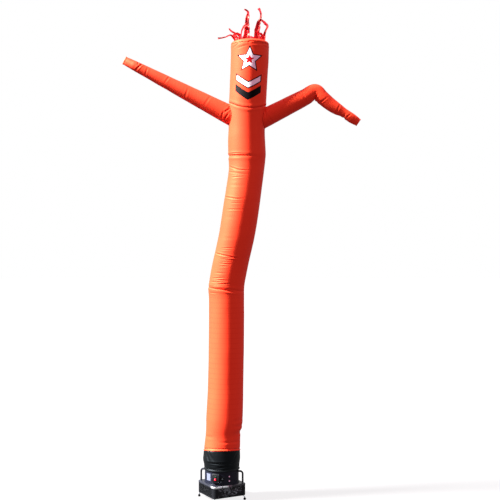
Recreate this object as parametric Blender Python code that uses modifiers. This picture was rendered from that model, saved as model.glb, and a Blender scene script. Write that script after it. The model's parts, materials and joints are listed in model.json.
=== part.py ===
"""An inflatable air dancer standing on its blower.

Metres, +Z up, and the dancer faces -Y. The origin is on the ground, under the middle of the object's box.
Every cloth piece is an open surface that a Solidify turns into a thin shell. The body and head share one spine,
a table that says where the middle of the tube is at each height, so that their seams meet.
"""

import math

import bmesh
import bpy
from mathutils import Vector

OBJECT_NAME = "air_dancer"

# Cloth
CLOTH = 0.002  # thickness of every cloth shell
SEAM_GAP = 0.0004  # between two cut pieces at a butted seam
TUBE_SIDES = 24
ARM_SIDES = 14

# The tube's middle line: column names are height, across, back, radius
SPINE = (
    (0.380, -0.240, 0.000, 0.2235),
    (0.440, -0.241, 0.000, 0.2250),
    (0.500, -0.243, 0.000, 0.2350),
    (0.560, -0.240, 0.000, 0.2330),
    (0.612, -0.238, 0.000, 0.2295),
    (0.712, -0.231, 0.002, 0.2240),
    (0.813, -0.225, 0.004, 0.2190),
    (0.915, -0.212, 0.006, 0.2280),
    (1.020, -0.206, 0.008, 0.2320),
    (1.420, -0.192, 0.016, 0.2250),
    (2.130, -0.181, 0.028, 0.2240),
    (2.540, -0.181, 0.030, 0.2250),
    (2.660, -0.184, 0.030, 0.2290),
    (2.745, -0.174, 0.026, 0.2290),
    (2.950, -0.136, 0.012, 0.2290),
    (3.350, -0.047, -0.016, 0.2300),
    (3.760, 0.017, -0.024, 0.2290),
    (4.165, 0.073, -0.004, 0.2250),
    (4.300, 0.080, 0.006, 0.2330),
    (4.375, 0.080, 0.010, 0.2390),
    (4.570, 0.074, 0.006, 0.2340),
    (4.700, 0.077, 0.003, 0.2300),
    (4.970, 0.086, 0.000, 0.2350),
    (5.260, 0.099, -0.004, 0.2370),
    (5.560, 0.114, -0.006, 0.2400),
    (5.760, 0.118, -0.006, 0.2413),
)

# Heights along the tube
SLEEVE_FOOT = 0.380
HEM = 0.6125  # at the sides
HEM_TILT = 0.0325  # the hem is this much higher at the front and lower at the back
TUCK = 0.004  # the sleeve's top lies this far inside the body's hem
TUCK_FROM = (0.012, 0.004)  # below the hem, where the sleeve starts and ends drawing in
TUCK_RISE = 0.024  # above the hem, where the sleeve ends
SLEEVE_LEVEL = 0.545  # the sleeve's rows are level up to here
HEM_LEVEL = 0.760  # the body's rows are level from here
BODY_CUTS = (2.560, 4.250)  # the body's lengths of cloth meet at these plain rows
SHOULDER_FOOT = 4.600  # the body's rows are level up to here
NECK_TOP = 5.150  # the head's rows are level from here
CAP_SEAM = 5.745
CAP_RISE = 0.066
CAP_POWER = 2.6  # 2 would be an ellipse, and more is squarer
CAP_LIP = 0.006  # the cap's wall is upright this far above its seam
CAP_RINGS = (0.985, 0.94, 0.86, 0.70, 0.45, 0.18)  # the dome's rows, as shares of its radius

# The shoulder seam dips at the front and back, between the arms
SHOULDER_SEAM = 4.995
SHOULDER_DROP_RIGHT = 0.020
SHOULDER_DIP = 0.072

LEVEL_STEP = 0.17  # between plain rows of the body
YOKE_SHARES = (0.35, 0.7, 1.0)  # the body's rows between SHOULDER_FOOT and the shoulder seam
HEM_SHARES = (0.0, 0.3, 0.65)  # the body's rows between the hem and HEM_LEVEL

# Folds round the body: column names are height, tilt, dent, facing, spread, reach (angles in degrees, 0 is +X and
# -90 the front). A fold is a row pushed in by dent, between two rows at reach that stay out.
BODY_FOLDS = (
    (0.850, 0.010, 0.010, 10, 80, 0.045),
    (2.650, -0.024, 0.017, -100, 130, 0.024),
    (2.738, 0.004, 0.009, -120, 60, 0.019),
    (3.060, -0.018, 0.008, -125, 65, 0.020),
    (4.150, -0.010, 0.006, -150, 60, 0.018),
    (4.337, -0.010, 0.021, 180, 125, 0.026),
)
SLEEVE_FOLDS = ((0.482, 0.004, 0.008, -105, 62, 0.018),)
FOLD_BULGE = 0.15  # the rows beside a fold stand out by this share of its depth

# Left arm, on the viewer's left: a straight cone
LEFT_ROOT = (-0.146, 4.868)  # across, height
LEFT_RISE = math.radians(27.4)
LEFT_LENGTH = 1.500
LEFT_WIDTHS = (0.246, 0.124)  # at the root and where the flat tip begins
LEFT_TIP_LENGTH = 0.150
LEFT_TIP = (0.104, 0.034)  # width and thickness of the flat end
LEFT_TIP_SHARES = (0.4, 0.75, 1.0)  # where the tip's rows lie along it
LEFT_ROWS = 10

# Right arm: column names are across, height, width, thickness, pinch (how far the lower side is pushed in)
RIGHT_ARM = (
    (0.244, 4.795, 0.240, 0.240, 0.000),
    (0.420, 4.886, 0.232, 0.232, 0.000),
    (0.630, 4.994, 0.220, 0.220, 0.000),
    (0.830, 5.098, 0.206, 0.206, 0.000),
    (0.947, 5.160, 0.196, 0.172, 0.016),
    (1.034, 5.088, 0.180, 0.186, 0.000),
    (1.134, 5.004, 0.166, 0.168, 0.000),
    (1.235, 4.935, 0.147, 0.150, 0.000),
    (1.306, 4.890, 0.126, 0.130, 0.008),
    (1.405, 4.827, 0.124, 0.120, 0.000),
    (1.463, 4.790, 0.111, 0.092, 0.000),
    (1.498, 4.767, 0.098, 0.070, 0.000),
)
ARM_START_INSIDE = 0.080  # how far an arm's first row lies inside the body before it is trimmed
ARM_HOLE_MARGIN = 0.006  # the hole's edge lies this far inside the arm's outer face
ARM_TRIM = 0.0015  # between the arm's root and the body
CORE_HEIGHTS = (4.500, 5.400)  # the core that trims the arms' roots follows the spine between these
CORE_STEPS = 16

# Hair strips: column names are across, back, height, width, turn (degrees, 0 shows the full width to the front)
HAIR_CLOTH = 0.0025
HAIR_FOLD = 0.22  # the crease along a strip's middle, as a share of its width
HAIR_LIFT = 0.0012  # between a strip's root and the cap
HAIR = {
    "hair_strip_flat_left": (
        (-0.062, 0.000, 5.803, 0.034, 10),
        (-0.092, 0.000, 5.850, 0.028, 20),
        (-0.132, -0.004, 5.878, 0.022, 50),
        (-0.185, -0.008, 5.856, 0.020, 60),
        (-0.240, -0.008, 5.842, 0.018, 40),
        (-0.290, -0.006, 5.836, 0.022, 20),
    ),
    "hair_strip_flick_left": (
        (0.002, -0.060, 5.806, 0.046, 0),
        (-0.020, -0.062, 5.868, 0.040, 20),
        (-0.066, -0.060, 5.886, 0.034, 35),
        (-0.104, -0.056, 5.908, 0.026, 20),
        (-0.130, -0.052, 5.930, 0.020, 10),
        (-0.149, -0.050, 5.953, 0.012, 0),
    ),
    "hair_strip_bundle": (
        (-0.036, -0.034, 5.806, 0.060, 10),
        (-0.052, -0.030, 5.838, 0.050, -10),
        (-0.080, -0.026, 5.866, 0.034, 20),
        (-0.100, -0.024, 5.882, 0.020, 0),
    ),
    "hair_strip_curl": (
        (0.012, -0.012, 5.810, 0.026, 30),
        (0.006, -0.020, 5.880, 0.022, 45),
        (0.022, -0.044, 5.945, 0.024, 30),
        (0.046, -0.058, 5.978, 0.032, 10),
        (0.080, -0.060, 6.000, 0.036, 0),
        (0.100, -0.058, 6.020, 0.018, 0),
    ),
    "hair_strip_tall_left": (
        (0.070, -0.020, 5.810, 0.086, 0),
        (0.076, -0.018, 5.920, 0.074, 8),
        (0.080, -0.016, 6.005, 0.058, -10),
        (0.085, -0.014, 6.090, 0.050, 10),
        (0.092, -0.014, 6.150, 0.042, 30),
        (0.080, -0.016, 6.186, 0.034, 50),
        (0.044, -0.018, 6.203, 0.014, 30),
    ),
    "hair_strip_tall_right": (
        (0.204, 0.004, 5.808, 0.082, 0),
        (0.210, 0.006, 5.930, 0.070, -8),
        (0.228, 0.008, 6.040, 0.056, 5),
        (0.250, 0.010, 6.088, 0.024, 10),
        (0.257, 0.010, 6.130, 0.024, 10),
        (0.250, 0.008, 6.180, 0.026, 10),
        (0.224, 0.004, 6.222, 0.030, 0),
    ),
    "hair_strip_loop_right": (
        (0.293, 0.012, 5.800, 0.040, 10),
        (0.302, 0.014, 5.900, 0.034, -10),
        (0.322, 0.016, 5.945, 0.028, 25),
        (0.338, 0.018, 5.996, 0.032, 10),
        (0.312, 0.024, 6.034, 0.034, 20),
        (0.282, 0.030, 6.062, 0.026, 10),
        (0.258, 0.030, 6.084, 0.018, 0),
    ),
    "hair_strip_front": (
        (0.276, -0.050, 5.803, 0.034, 10),
        (0.274, -0.056, 5.850, 0.030, -10),
        (0.254, -0.062, 5.880, 0.032, 10),
        (0.214, -0.064, 5.868, 0.026, 0),
    ),
}
# The low band behind the tall strips
BAND_ENDS = (0.020, 0.262)  # across
BAND_BACK = 0.042
BAND_RISE = 0.062  # above the cap
BAND_WAVE = 0.008  # how far it wanders back and forth
BAND_DROOP = 0.010  # how far its upper edge dips and rises

# Blower
AXIS_X = -0.240  # the drum's upright axis stands here
BASE_TURN = math.radians(29)  # the square base is turned so that a corner faces the front left
BASE_HALF = 0.2346
BASE_CORNER = 0.050
DRUM_RADIUS = 0.216
DRUM_WALL = 0.003
DRUM_LIP = 0.005  # the rolled rim stands in by this much
DRUM_TOP = 0.490
DECK = (0.186, 0.212)  # lowest and highest
DECK_HOLE = 0.190
DECK_ROUND = 0.011
TRAY = (0.062, 0.074)
TRAY_HOLE = 0.206
TOUCH = 0.0003  # between pieces that meet
POST_WALL = 0.005
POST_INSET = 0.003
POST_STRAIGHT = 0.014
PANEL_THICK = 0.003
PANEL_INSET = 0.007
STEM_RADIUS = 0.006
STEM_AT = 0.284  # from the axis, along the base's diagonal
FOOT_AT = 0.303
BALL_RADIUS = 0.0175
BALL_FLAT = 0.011  # radius of the flat spot under each foot
STEM_BENDS = (0.055, 0.039)  # heights between which a stem splays outwards
HANDLE_TUBE = 0.0125
HANDLE_OUT = 0.276
HANDLE_HEIGHT = 0.358  # a handle leaves the drum's wall here, bends down and stands on the deck
HANDLE_BEND = 0.030
SWITCH = (0.098, 0.112, 0.246)  # width, height, and how far out its face is from the axis
SWITCH_AT = (-17.3, 0.302)  # degrees round from the front, height
SWITCH_SUNK = 0.015  # how far its uncut back lies inside the drum's wall
SWITCH_ROUND = 0.006
BUTTONS = {"button_red": (0.0125, 0.290, 0.010), "button_green": (0.0085, 0.322, 0.006)}  # radius, height, depth
INLET_AT = (4.0, 0.296)
INLET_RADIUS = 0.026
# The inlet's turned profile: share of its radius, and how far it stands out of the drum's wall
INLET_PROFILE = (
    (0.00, 0.026),
    (0.36, 0.026),
    (0.50, 0.020),
    (0.62, 0.010),
    (1.00, 0.007),
    (1.00, -0.006),
    (0.00, -0.006),
)
CLIP = ((0.6, 0.263), (-6.2, 0.2365))  # degrees round and height of its two ends
CLIP_OUT = 0.226
CLIP_RADIUS = 0.003
PLUGS_AT = 27.3
PLUGS = (("plug_upper", 0.318), ("plug_lower", 0.263))
PLUG_RADIUS = 0.0095
PLUG_PROFILE = ((0.0, 0.005), (0.7, 0.0045), (1.0, 0.002), (1.0, 0.0), (0.0, 0.0))  # as the inlet's
LABEL_FROM_TO = (-57.7, -39.4)
LABEL_HEIGHTS = (0.258, 0.346)
LABEL_THICK = 0.001
TURN_STEPS = 32

# Colours (linear RGB), roughness and metallic
FINISHES = {
    "nylon_orange": ((0.83, 0.10, 0.035), 0.55, 0.0),
    "nylon_black": ((0.012, 0.013, 0.014), 0.50, 0.0),
    "steel_black": ((0.014, 0.015, 0.017), 0.38, 0.0),
    "edge_grey": ((0.20, 0.20, 0.24), 0.22, 0.9),
    "plastic_black": ((0.010, 0.010, 0.011), 0.45, 0.0),
    "grille_black": ((0.020, 0.020, 0.022), 0.35, 0.4),
    "rubber_black": ((0.008, 0.008, 0.008), 0.70, 0.0),
    "stem_steel": ((0.45, 0.47, 0.52), 0.25, 1.0),
    "button_red": ((0.75, 0.01, 0.02), 0.35, 0.0),
    "button_green": ((0.01, 0.10, 0.04), 0.35, 0.0),
    "plastic_white": ((0.80, 0.80, 0.80), 0.40, 0.0),
}


def clear_scene():
    for obj in list(bpy.data.objects):
        bpy.data.objects.remove(obj)


def make_materials():
    for name, (colour, roughness, metallic) in FINISHES.items():
        finish = bpy.data.materials.new(name)
        finish.use_nodes = True
        shader = finish.node_tree.nodes["Principled BSDF"]
        shader.inputs["Base Color"].default_value = (*colour, 1.0)
        shader.inputs["Roughness"].default_value = roughness
        shader.inputs["Metallic"].default_value = metallic
        finish.diffuse_color = (*colour, 1.0)


def new_collection(name):
    collection = bpy.data.collections.new(name)
    bpy.context.scene.collection.children.link(collection)
    return collection


def add_object(name, data, finish=None):
    """Links a new object: one with a finish is a part, and one without is a cutter."""
    obj = bpy.data.objects.new(name, data)
    if finish:
        PARTS.objects.link(obj)
        data.materials.append(bpy.data.materials[finish])
    else:
        CUTTERS.objects.link(obj)
        obj.hide_render = True
        obj.display_type = "WIRE"
    return obj


def on_base(obj):
    """Hangs a piece on the blower's own upright axis, turned with its base."""
    obj.parent = BLOWER
    return obj


def smooth(obj, degrees=35):
    obj.data.shade_smooth()
    obj.data.set_sharp_from_angle(angle=math.radians(degrees))


def shell(obj, thickness, offset=-1.0):
    modifier = obj.modifiers.new("Thickness", "SOLIDIFY")
    modifier.thickness = thickness
    modifier.offset = offset


def cut(obj, cutter):
    modifier = obj.modifiers.new("Cut", "BOOLEAN")
    modifier.operation = "DIFFERENCE"
    modifier.solver = "EXACT"
    modifier.object = cutter


def spine(height):
    """(across, back, radius) of the tube at a height, on a smooth curve through the table's rows."""
    rows = SPINE
    at = max(i for i in range(len(rows) - 1) if rows[i][0] <= height or i == 0)
    before, low, high, after = (rows[min(max(at + step, 0), len(rows) - 1)] for step in (-1, 0, 1, 2))
    span = high[0] - low[0]
    t = (height - low[0]) / span
    found = []
    for column in (1, 2, 3):
        slope_low = (high[column] - before[column]) / (high[0] - before[0]) * span
        slope_high = (after[column] - low[column]) / (after[0] - low[0]) * span
        found.append(
            (2 * t**3 - 3 * t**2 + 1) * low[column]
            + (t**3 - 2 * t**2 + t) * slope_low
            + (3 * t**2 - 2 * t**3) * high[column]
            + (t**3 - t**2) * slope_high
        )
    return found


def fold_share(angle, facing, spread):
    """How much of a fold's depth is there at this angle round the tube: all of it at facing, none at spread."""
    away = abs((angle - math.radians(facing) + math.pi) % (2 * math.pi) - math.pi) / math.radians(spread)
    return math.cos(away * math.pi / 2) ** 2 if away < 1 else 0.0


def tube_ring(height_of, dent_of=None, wider=0.0):
    """A ring of points round the spine, whose height and dent are functions of the angle."""
    points = []
    for step in range(TUBE_SIDES):
        angle = 2 * math.pi * step / TUBE_SIDES
        height = height_of(angle)
        across, back, radius = spine(height)
        radius += wider - (dent_of(angle) if dent_of else 0.0)
        points.append(Vector((across + radius * math.cos(angle), back + radius * math.sin(angle), height)))
    return points


def level_ring(height, wider=0.0):
    return tube_ring(lambda angle: height, wider=wider)


def fold_rings(fold):
    """The three rows of a fold: out, in and out again."""
    height, tilt, dent, facing, spread, reach = fold
    rings = []
    for away, share in ((-reach, -FOLD_BULGE), (0.0, 1.0), (reach, -FOLD_BULGE)):
        rings.append(
            (
                height + away,
                tube_ring(
                    lambda angle, up=away: height + up + tilt * math.cos(angle),
                    lambda angle, part=share: dent * part * fold_share(angle, facing, spread),
                ),
            )
        )
    return rings


def rows_between(low, high, folds):
    """Rings from low to high: level ones at an even step, left out where a fold has its own."""
    rings = [ring for fold in folds for ring in fold_rings(fold)]
    count = max(1, round((high - low) / LEVEL_STEP))
    for step in range(count + 1):
        height = low + (high - low) * step / count
        near = min((abs(height - fold[0]) - fold[5] - abs(fold[1]) for fold in folds), default=1.0)
        if near > LEVEL_STEP * 0.25 or step in (0, count):
            rings.append((height, level_ring(height)))
    return [ring for _, ring in sorted(rings, key=lambda pair: pair[0])]


def shoulder_seam(angle):
    return (
        SHOULDER_SEAM - SHOULDER_DROP_RIGHT * math.cos(angle) - SHOULDER_DIP * math.sin(angle) ** 2
    )


def hem(angle):
    return HEM - HEM_TILT * math.sin(angle)


def between(low_of, high_of, share):
    """A ring at a share of the way between two heights that change with the angle."""
    return tube_ring(lambda angle: low_of(angle) + (high_of(angle) - low_of(angle)) * share)


def loft(name, rings, finish=None, closed_ends=False):
    """A surface through rings of points that run the same way round."""
    mesh = bpy.data.meshes.new(name)
    bm = bmesh.new()
    loops = [[bm.verts.new(point) for point in ring] for ring in rings]
    for low, high in zip(loops, loops[1:]):
        for step in range(len(low)):
            after = (step + 1) % len(low)
            bm.faces.new((low[step], low[after], high[after], high[step]))
    if closed_ends:
        bm.faces.new(reversed(loops[0]))
        bm.faces.new(loops[-1])
    bm.to_mesh(mesh)
    bm.free()
    obj = add_object(name, mesh, finish)
    smooth(obj, 60)
    return obj


def arm_rings(rows, narrower=0.0):
    """Rings across an arm, each square to the path through its neighbours' middles."""
    rings = []
    for at, (across, height, width, thickness, pinch) in enumerate(rows):
        before, after = rows[max(at - 1, 0)], rows[min(at + 1, len(rows) - 1)]
        here = Vector((across, 0, height))
        along = Vector((0, 0, 0))
        for neighbour, sign in ((before, -1), (after, 1)):
            step = (Vector((neighbour[0], 0, neighbour[1])) - here) * sign
            if step.length > 0:
                along += step.normalized()
        along.normalize()
        up = Vector((-along.z, 0, along.x))
        points = []
        for step in range(ARM_SIDES):
            angle = 2 * math.pi * step / ARM_SIDES
            reach_up = width / 2 - narrower
            lowered = -math.cos(angle) * math.copysign(1, up.z)
            if lowered > 0:
                reach_up -= pinch * lowered**2
            side = Vector((0, 1, 0)) * math.sin(angle) * (thickness / 2 - narrower)
            points.append(here + up * math.cos(angle) * reach_up - side)
        rings.append(points)
    return rings


def left_arm_rows():
    """The left arm's rows: a cone, then a tip that grows flat."""
    rows = []
    cone = LEFT_LENGTH - LEFT_TIP_LENGTH
    stations = [-ARM_START_INSIDE + (cone + ARM_START_INSIDE) * i / LEFT_ROWS for i in range(LEFT_ROWS + 1)]
    stations += [cone + LEFT_TIP_LENGTH * share for share in LEFT_TIP_SHARES]
    for station in stations:
        share = station / cone
        width = LEFT_WIDTHS[0] + (LEFT_WIDTHS[1] - LEFT_WIDTHS[0]) * min(share, 1.0)
        thickness = width
        if station > cone:
            flat = (station - cone) / LEFT_TIP_LENGTH
            width += (LEFT_TIP[0] - LEFT_WIDTHS[1]) * flat
            thickness += (LEFT_TIP[1] - LEFT_WIDTHS[1]) * flat
        rows.append(
            (
                LEFT_ROOT[0] - station * math.cos(LEFT_RISE),
                LEFT_ROOT[1] + station * math.sin(LEFT_RISE),
                width,
                thickness,
                0.0,
            )
        )
    return rows


def hole_cutter(name, rows):
    """A closed plug along an arm's first rows, a little narrower than the arm, that opens its hole in the body."""
    root, beyond = rows[0], rows[2]
    back = (2 * root[0] - beyond[0], 2 * root[1] - beyond[1], *root[2:])
    middle = tuple((root[i] + back[i]) / 2 for i in range(len(root)))
    return loft(name, arm_rings([middle, *rows[:3]], ARM_HOLE_MARGIN), closed_ends=True)


def build_body():
    """The body's three lengths of cloth, from the hem to the shoulder seam; returns the top one."""
    low, high = BODY_CUTS
    rings = [between(hem, lambda angle: HEM_LEVEL, share) for share in HEM_SHARES]
    rings += rows_between(HEM_LEVEL, low - SEAM_GAP / 2, [fold for fold in BODY_FOLDS if fold[0] < low])
    shell(loft("body_lower", rings, "nylon_orange"), CLOTH)

    folds = [fold for fold in BODY_FOLDS if low < fold[0] < high]
    rings = rows_between(low + SEAM_GAP / 2, high - SEAM_GAP / 2, folds)
    shell(loft("body_middle", rings, "nylon_orange"), CLOTH)

    rings = rows_between(high + SEAM_GAP / 2, SHOULDER_FOOT, [fold for fold in BODY_FOLDS if fold[0] > high])
    for share in YOKE_SHARES:
        gap = SEAM_GAP / 2 if share == 1.0 else 0.0
        rings.append(between(lambda angle: SHOULDER_FOOT, lambda angle, g=gap: shoulder_seam(angle) - g, share))
    upper = loft("body_upper", rings, "nylon_orange")
    shell(upper, CLOTH)
    return upper


def build_cloth():
    sleeve_rings = rows_between(SLEEVE_FOOT, SLEEVE_LEVEL, SLEEVE_FOLDS)
    sleeve_rings.append(between(lambda angle: SLEEVE_LEVEL, lambda angle: hem(angle) - TUCK_FROM[0], 1.0))
    for rise in (-TUCK_FROM[1], TUCK_RISE):
        sleeve_rings.append(tube_ring(lambda angle, up=rise: hem(angle) + up, wider=-TUCK))
    sleeve = loft("sleeve", sleeve_rings, "nylon_black")
    shell(sleeve, CLOTH)

    body = build_body()

    head_rings = [tube_ring(lambda angle: shoulder_seam(angle) + SEAM_GAP / 2)]
    head_rings.append(tube_ring(lambda angle: (shoulder_seam(angle) + NECK_TOP) / 2))
    head_rings += rows_between(NECK_TOP, CAP_SEAM - SEAM_GAP / 2, ())
    head = loft("head", head_rings, "nylon_orange")
    shell(head, CLOTH)

    build_cap()

    core_low, core_high = CORE_HEIGHTS
    core = loft(
        "cutter_core",
        [
            level_ring(core_low + (core_high - core_low) * step / CORE_STEPS, ARM_TRIM)
            for step in range(CORE_STEPS + 1)
        ],
        closed_ends=True,
    )
    for name, rows in (("arm_left", left_arm_rows()), ("arm_right", list(RIGHT_ARM))):
        arm = loft(name, arm_rings(rows), "nylon_orange")
        shell(arm, CLOTH)
        cut(arm, core)
        cut(body, hole_cutter("cutter_" + name, rows))


def cap_height(across, back):
    """The outer height of the domed cap over a point."""
    middle, behind, radius = spine(CAP_SEAM)
    share = min(math.hypot(across - middle, back - behind) / radius, 1.0)
    return CAP_SEAM + CAP_RISE * (1 - share**CAP_POWER) ** (1 / CAP_POWER)


def build_cap():
    middle, behind, radius = spine(CAP_SEAM)
    rings = [level_ring(CAP_SEAM + SEAM_GAP / 2), level_ring(CAP_SEAM + CAP_LIP)]
    for share in CAP_RINGS:
        ring = []
        for step in range(TUBE_SIDES):
            angle = 2 * math.pi * step / TUBE_SIDES
            x = middle + radius * share * math.cos(angle)
            y = behind + radius * share * math.sin(angle)
            ring.append(Vector((x, y, cap_height(x, y))))
        rings.append(ring)
    cap = loft("cap", rings, "nylon_orange")
    bm = bmesh.new()
    bm.from_mesh(cap.data)
    top = [edge for edge in bm.edges if edge.is_boundary and edge.verts[0].co.z > CAP_SEAM + CAP_RISE / 2]
    bmesh.ops.holes_fill(bm, edges=top, sides=0)
    bm.to_mesh(cap.data)
    bm.free()
    smooth(cap, 60)
    shell(cap, CLOTH)


def ribbon(name, rows):
    """A strip of cloth with a crease along its middle, whose root follows the cap."""
    mesh = bpy.data.meshes.new(name)
    bm = bmesh.new()
    lines = []
    for at, (across, back, height, width, turn) in enumerate(rows):
        here = Vector((across, back, height))
        before, after = (Vector(rows[min(max(at + step, 0), len(rows) - 1)][:3]) for step in (-1, 1))
        along = (after - before).normalized()
        side = along.cross(Vector((0, 1, 0))).normalized()
        facing = side.cross(along)
        angle = math.radians(turn)
        side = side * math.cos(angle) + facing * math.sin(angle)
        crease = side.cross(along) * width * HAIR_FOLD
        points = [here - side * width / 2, here + crease, here + side * width / 2]
        if at == 0:
            for point in points:
                point.z = cap_height(point.x, point.y) + HAIR_LIFT
        lines.append([bm.verts.new(point) for point in points])
    for low, high in zip(lines, lines[1:]):
        for step in range(2):
            bm.faces.new((low[step], low[step + 1], high[step + 1], high[step]))
    bm.to_mesh(mesh)
    bm.free()
    strip = add_object(name, mesh, "nylon_orange")
    smooth(strip, 60)
    shell(strip, HAIR_CLOTH, offset=0.0)


def build_hair():
    for name, rows in HAIR.items():
        ribbon(name, rows)
    left, right = BAND_ENDS
    mesh = bpy.data.meshes.new("hair_band")
    bm = bmesh.new()
    bmesh.ops.create_grid(bm, x_segments=6, y_segments=2, size=0.5)
    top = cap_height(spine(CAP_SEAM)[0], BAND_BACK) + BAND_RISE - HAIR_LIFT
    for vert in bm.verts:
        share, up = vert.co.x + 0.5, vert.co.y + 0.5
        x = left + (right - left) * share
        y = BAND_BACK + BAND_WAVE * math.sin(share * 2.5 * math.pi) * (0.4 + up)
        foot = cap_height(x, y) + HAIR_LIFT
        vert.co = (x, y, foot + (top - BAND_DROOP * math.sin(share * 4 * math.pi) - foot) * up)
    bm.to_mesh(mesh)
    bm.free()
    band = add_object("hair_band", mesh, "nylon_orange")
    smooth(band, 60)
    shell(band, HAIR_CLOTH, offset=0.0)


def turned(name, profile, finish, steps=TURN_STEPS, loop=True):
    """A turned piece: its profile runs down the outer side, and a loop closes it away from the axis."""
    mesh = bpy.data.meshes.new(name)
    count = len(profile)
    edges = [(i, i + 1) for i in range(count - 1)] + ([(count - 1, 0)] if loop else [])
    mesh.from_pydata([(radius, 0, height) for radius, height in profile], edges, [])
    obj = add_object(name, mesh, finish)
    screw = obj.modifiers.new("Turn", "SCREW")
    screw.angle = 2 * math.pi
    screw.steps = screw.render_steps = steps
    screw.use_merge_vertices = True
    screw.merge_threshold = 0.0001
    screw.use_smooth_shade = True
    return obj


def flat_piece(name, outlines, heights, rounding, finish):
    """A plate from flat outlines, the first its edge and the others its holes."""
    curve = bpy.data.curves.new(name, "CURVE")
    curve.dimensions = "2D"
    curve.fill_mode = "BOTH"
    curve.extrude = (heights[1] - heights[0]) / 2 - rounding
    curve.bevel_depth = rounding
    curve.bevel_resolution = 1
    curve.offset = -rounding
    for outline in outlines:
        line = curve.splines.new("POLY")
        line.points.add(len(outline) - 1)
        for point, (x, y) in zip(line.points, outline):
            point.co = (x, y, 0, 1)
        line.use_cyclic_u = True
    obj = add_object(name, curve, finish)
    obj.location.z = (heights[0] + heights[1]) / 2
    return obj


def arc(centre, radius, start, end, steps):
    return [
        (
            centre[0] + radius * math.cos(start + (end - start) * i / steps),
            centre[1] + radius * math.sin(start + (end - start) * i / steps),
        )
        for i in range(steps + 1)
    ]


def rounded_square(half, corner, steps=6):
    points = []
    for quarter in range(4):
        turn = quarter * math.pi / 2
        middle = (half - corner) * math.sqrt(2)
        at = (middle * math.cos(turn + math.pi / 4), middle * math.sin(turn + math.pi / 4))
        points += arc(at, corner, turn, turn + math.pi / 2, steps)
    return points


def circle(radius, steps=TURN_STEPS):
    return arc((0, 0), radius, 0, 2 * math.pi * (1 - 1 / steps), steps - 1)


def rod(name, points, radius, finish, resolution=2):
    curve = bpy.data.curves.new(name, "CURVE")
    curve.dimensions = "3D"
    curve.bevel_depth = radius
    curve.bevel_resolution = resolution
    curve.use_fill_caps = True
    line = curve.splines.new("POLY")
    line.points.add(len(points) - 1)
    for point, place in zip(line.points, points):
        point.co = (*place, 1)
    return add_object(name, curve, finish)


def on_drum(obj, degrees, height, out):
    """Places a piece on the drum's wall, its own +Z pointing away from the axis; 0 degrees is the front."""
    angle = math.radians(degrees)
    obj.location = (AXIS_X + out * math.sin(angle), -out * math.cos(angle), height)
    obj.rotation_euler = (math.pi / 2, 0, angle)
    return obj


def build_base():
    on_base(
        flat_piece(
            "base_deck",
            [rounded_square(BASE_HALF, BASE_CORNER), circle(DECK_HOLE)],
            DECK,
            DECK_ROUND,
            "edge_grey",
        )
    )
    on_base(
        flat_piece(
            "base_tray",
            [rounded_square(BASE_HALF - PANEL_THICK, BASE_CORNER), circle(TRAY_HOLE)],
            TRAY,
            0.0,
            "plastic_black",
        )
    )
    wall = (TRAY[1] + TOUCH, DECK[0] - TOUCH)
    outer, inner = BASE_CORNER - POST_INSET, BASE_CORNER - POST_INSET - POST_WALL
    post = [(-POST_STRAIGHT, outer), *reversed(arc((0, 0), outer, 0, math.pi / 2, 6)), (outer, -POST_STRAIGHT)]
    post += [(inner, -POST_STRAIGHT), *arc((0, 0), inner, 0, math.pi / 2, 5), (-POST_STRAIGHT, inner)]
    middle = BASE_HALF - BASE_CORNER
    panel_half = middle - POST_STRAIGHT - TOUCH
    for quarter, side in enumerate(("back_right", "back_left", "front_left", "front_right")):
        turn = quarter * math.pi / 2
        corner = on_base(flat_piece("post_" + side, [post], wall, 0.0, "plastic_black"))
        corner.location.x = middle * math.sqrt(2) * math.cos(turn + math.pi / 4)
        corner.location.y = middle * math.sqrt(2) * math.sin(turn + math.pi / 4)
        corner.rotation_euler.z = turn
        edge = BASE_HALF - PANEL_INSET
        outline = [
            (edge - PANEL_THICK, -panel_half),
            (edge, -panel_half),
            (edge, panel_half),
            (edge - PANEL_THICK, panel_half),
        ]
        panel = on_base(flat_piece("panel_" + side, [outline], wall, 0.0, "grille_black"))
        panel.rotation_euler.z = turn
        build_foot(side, turn + math.pi / 4)


def build_foot(side, turn):
    drop = BALL_RADIUS - math.sqrt(BALL_RADIUS**2 - BALL_FLAT**2)
    centre = BALL_RADIUS - drop
    lowest = math.asin(centre / BALL_RADIUS)
    steps = 6
    profile = []
    for i in range(steps + 1):
        angle = math.pi / 2 - (math.pi / 2 + lowest) * i / steps
        profile.append((BALL_RADIUS * math.cos(angle), centre + BALL_RADIUS * math.sin(angle)))
    profile[0] = (0.0, profile[0][1])
    profile[-1] = (BALL_FLAT, 0.0)
    ball = on_base(turned("foot_" + side, [*profile, (0.0, 0.0)], "rubber_black", steps=14, loop=False))
    ball.location = (FOOT_AT * math.cos(turn), FOOT_AT * math.sin(turn), 0)
    top = profile[0][1] + TOUCH
    path = ((STEM_AT, TRAY[0] - TOUCH), (STEM_AT, STEM_BENDS[0]), (FOOT_AT, STEM_BENDS[1]), (FOOT_AT, top))
    on_base(
        rod(
            "stem_" + side,
            [(out * math.cos(turn), out * math.sin(turn), height) for out, height in path],
            STEM_RADIUS,
            "stem_steel",
        )
    )


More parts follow.
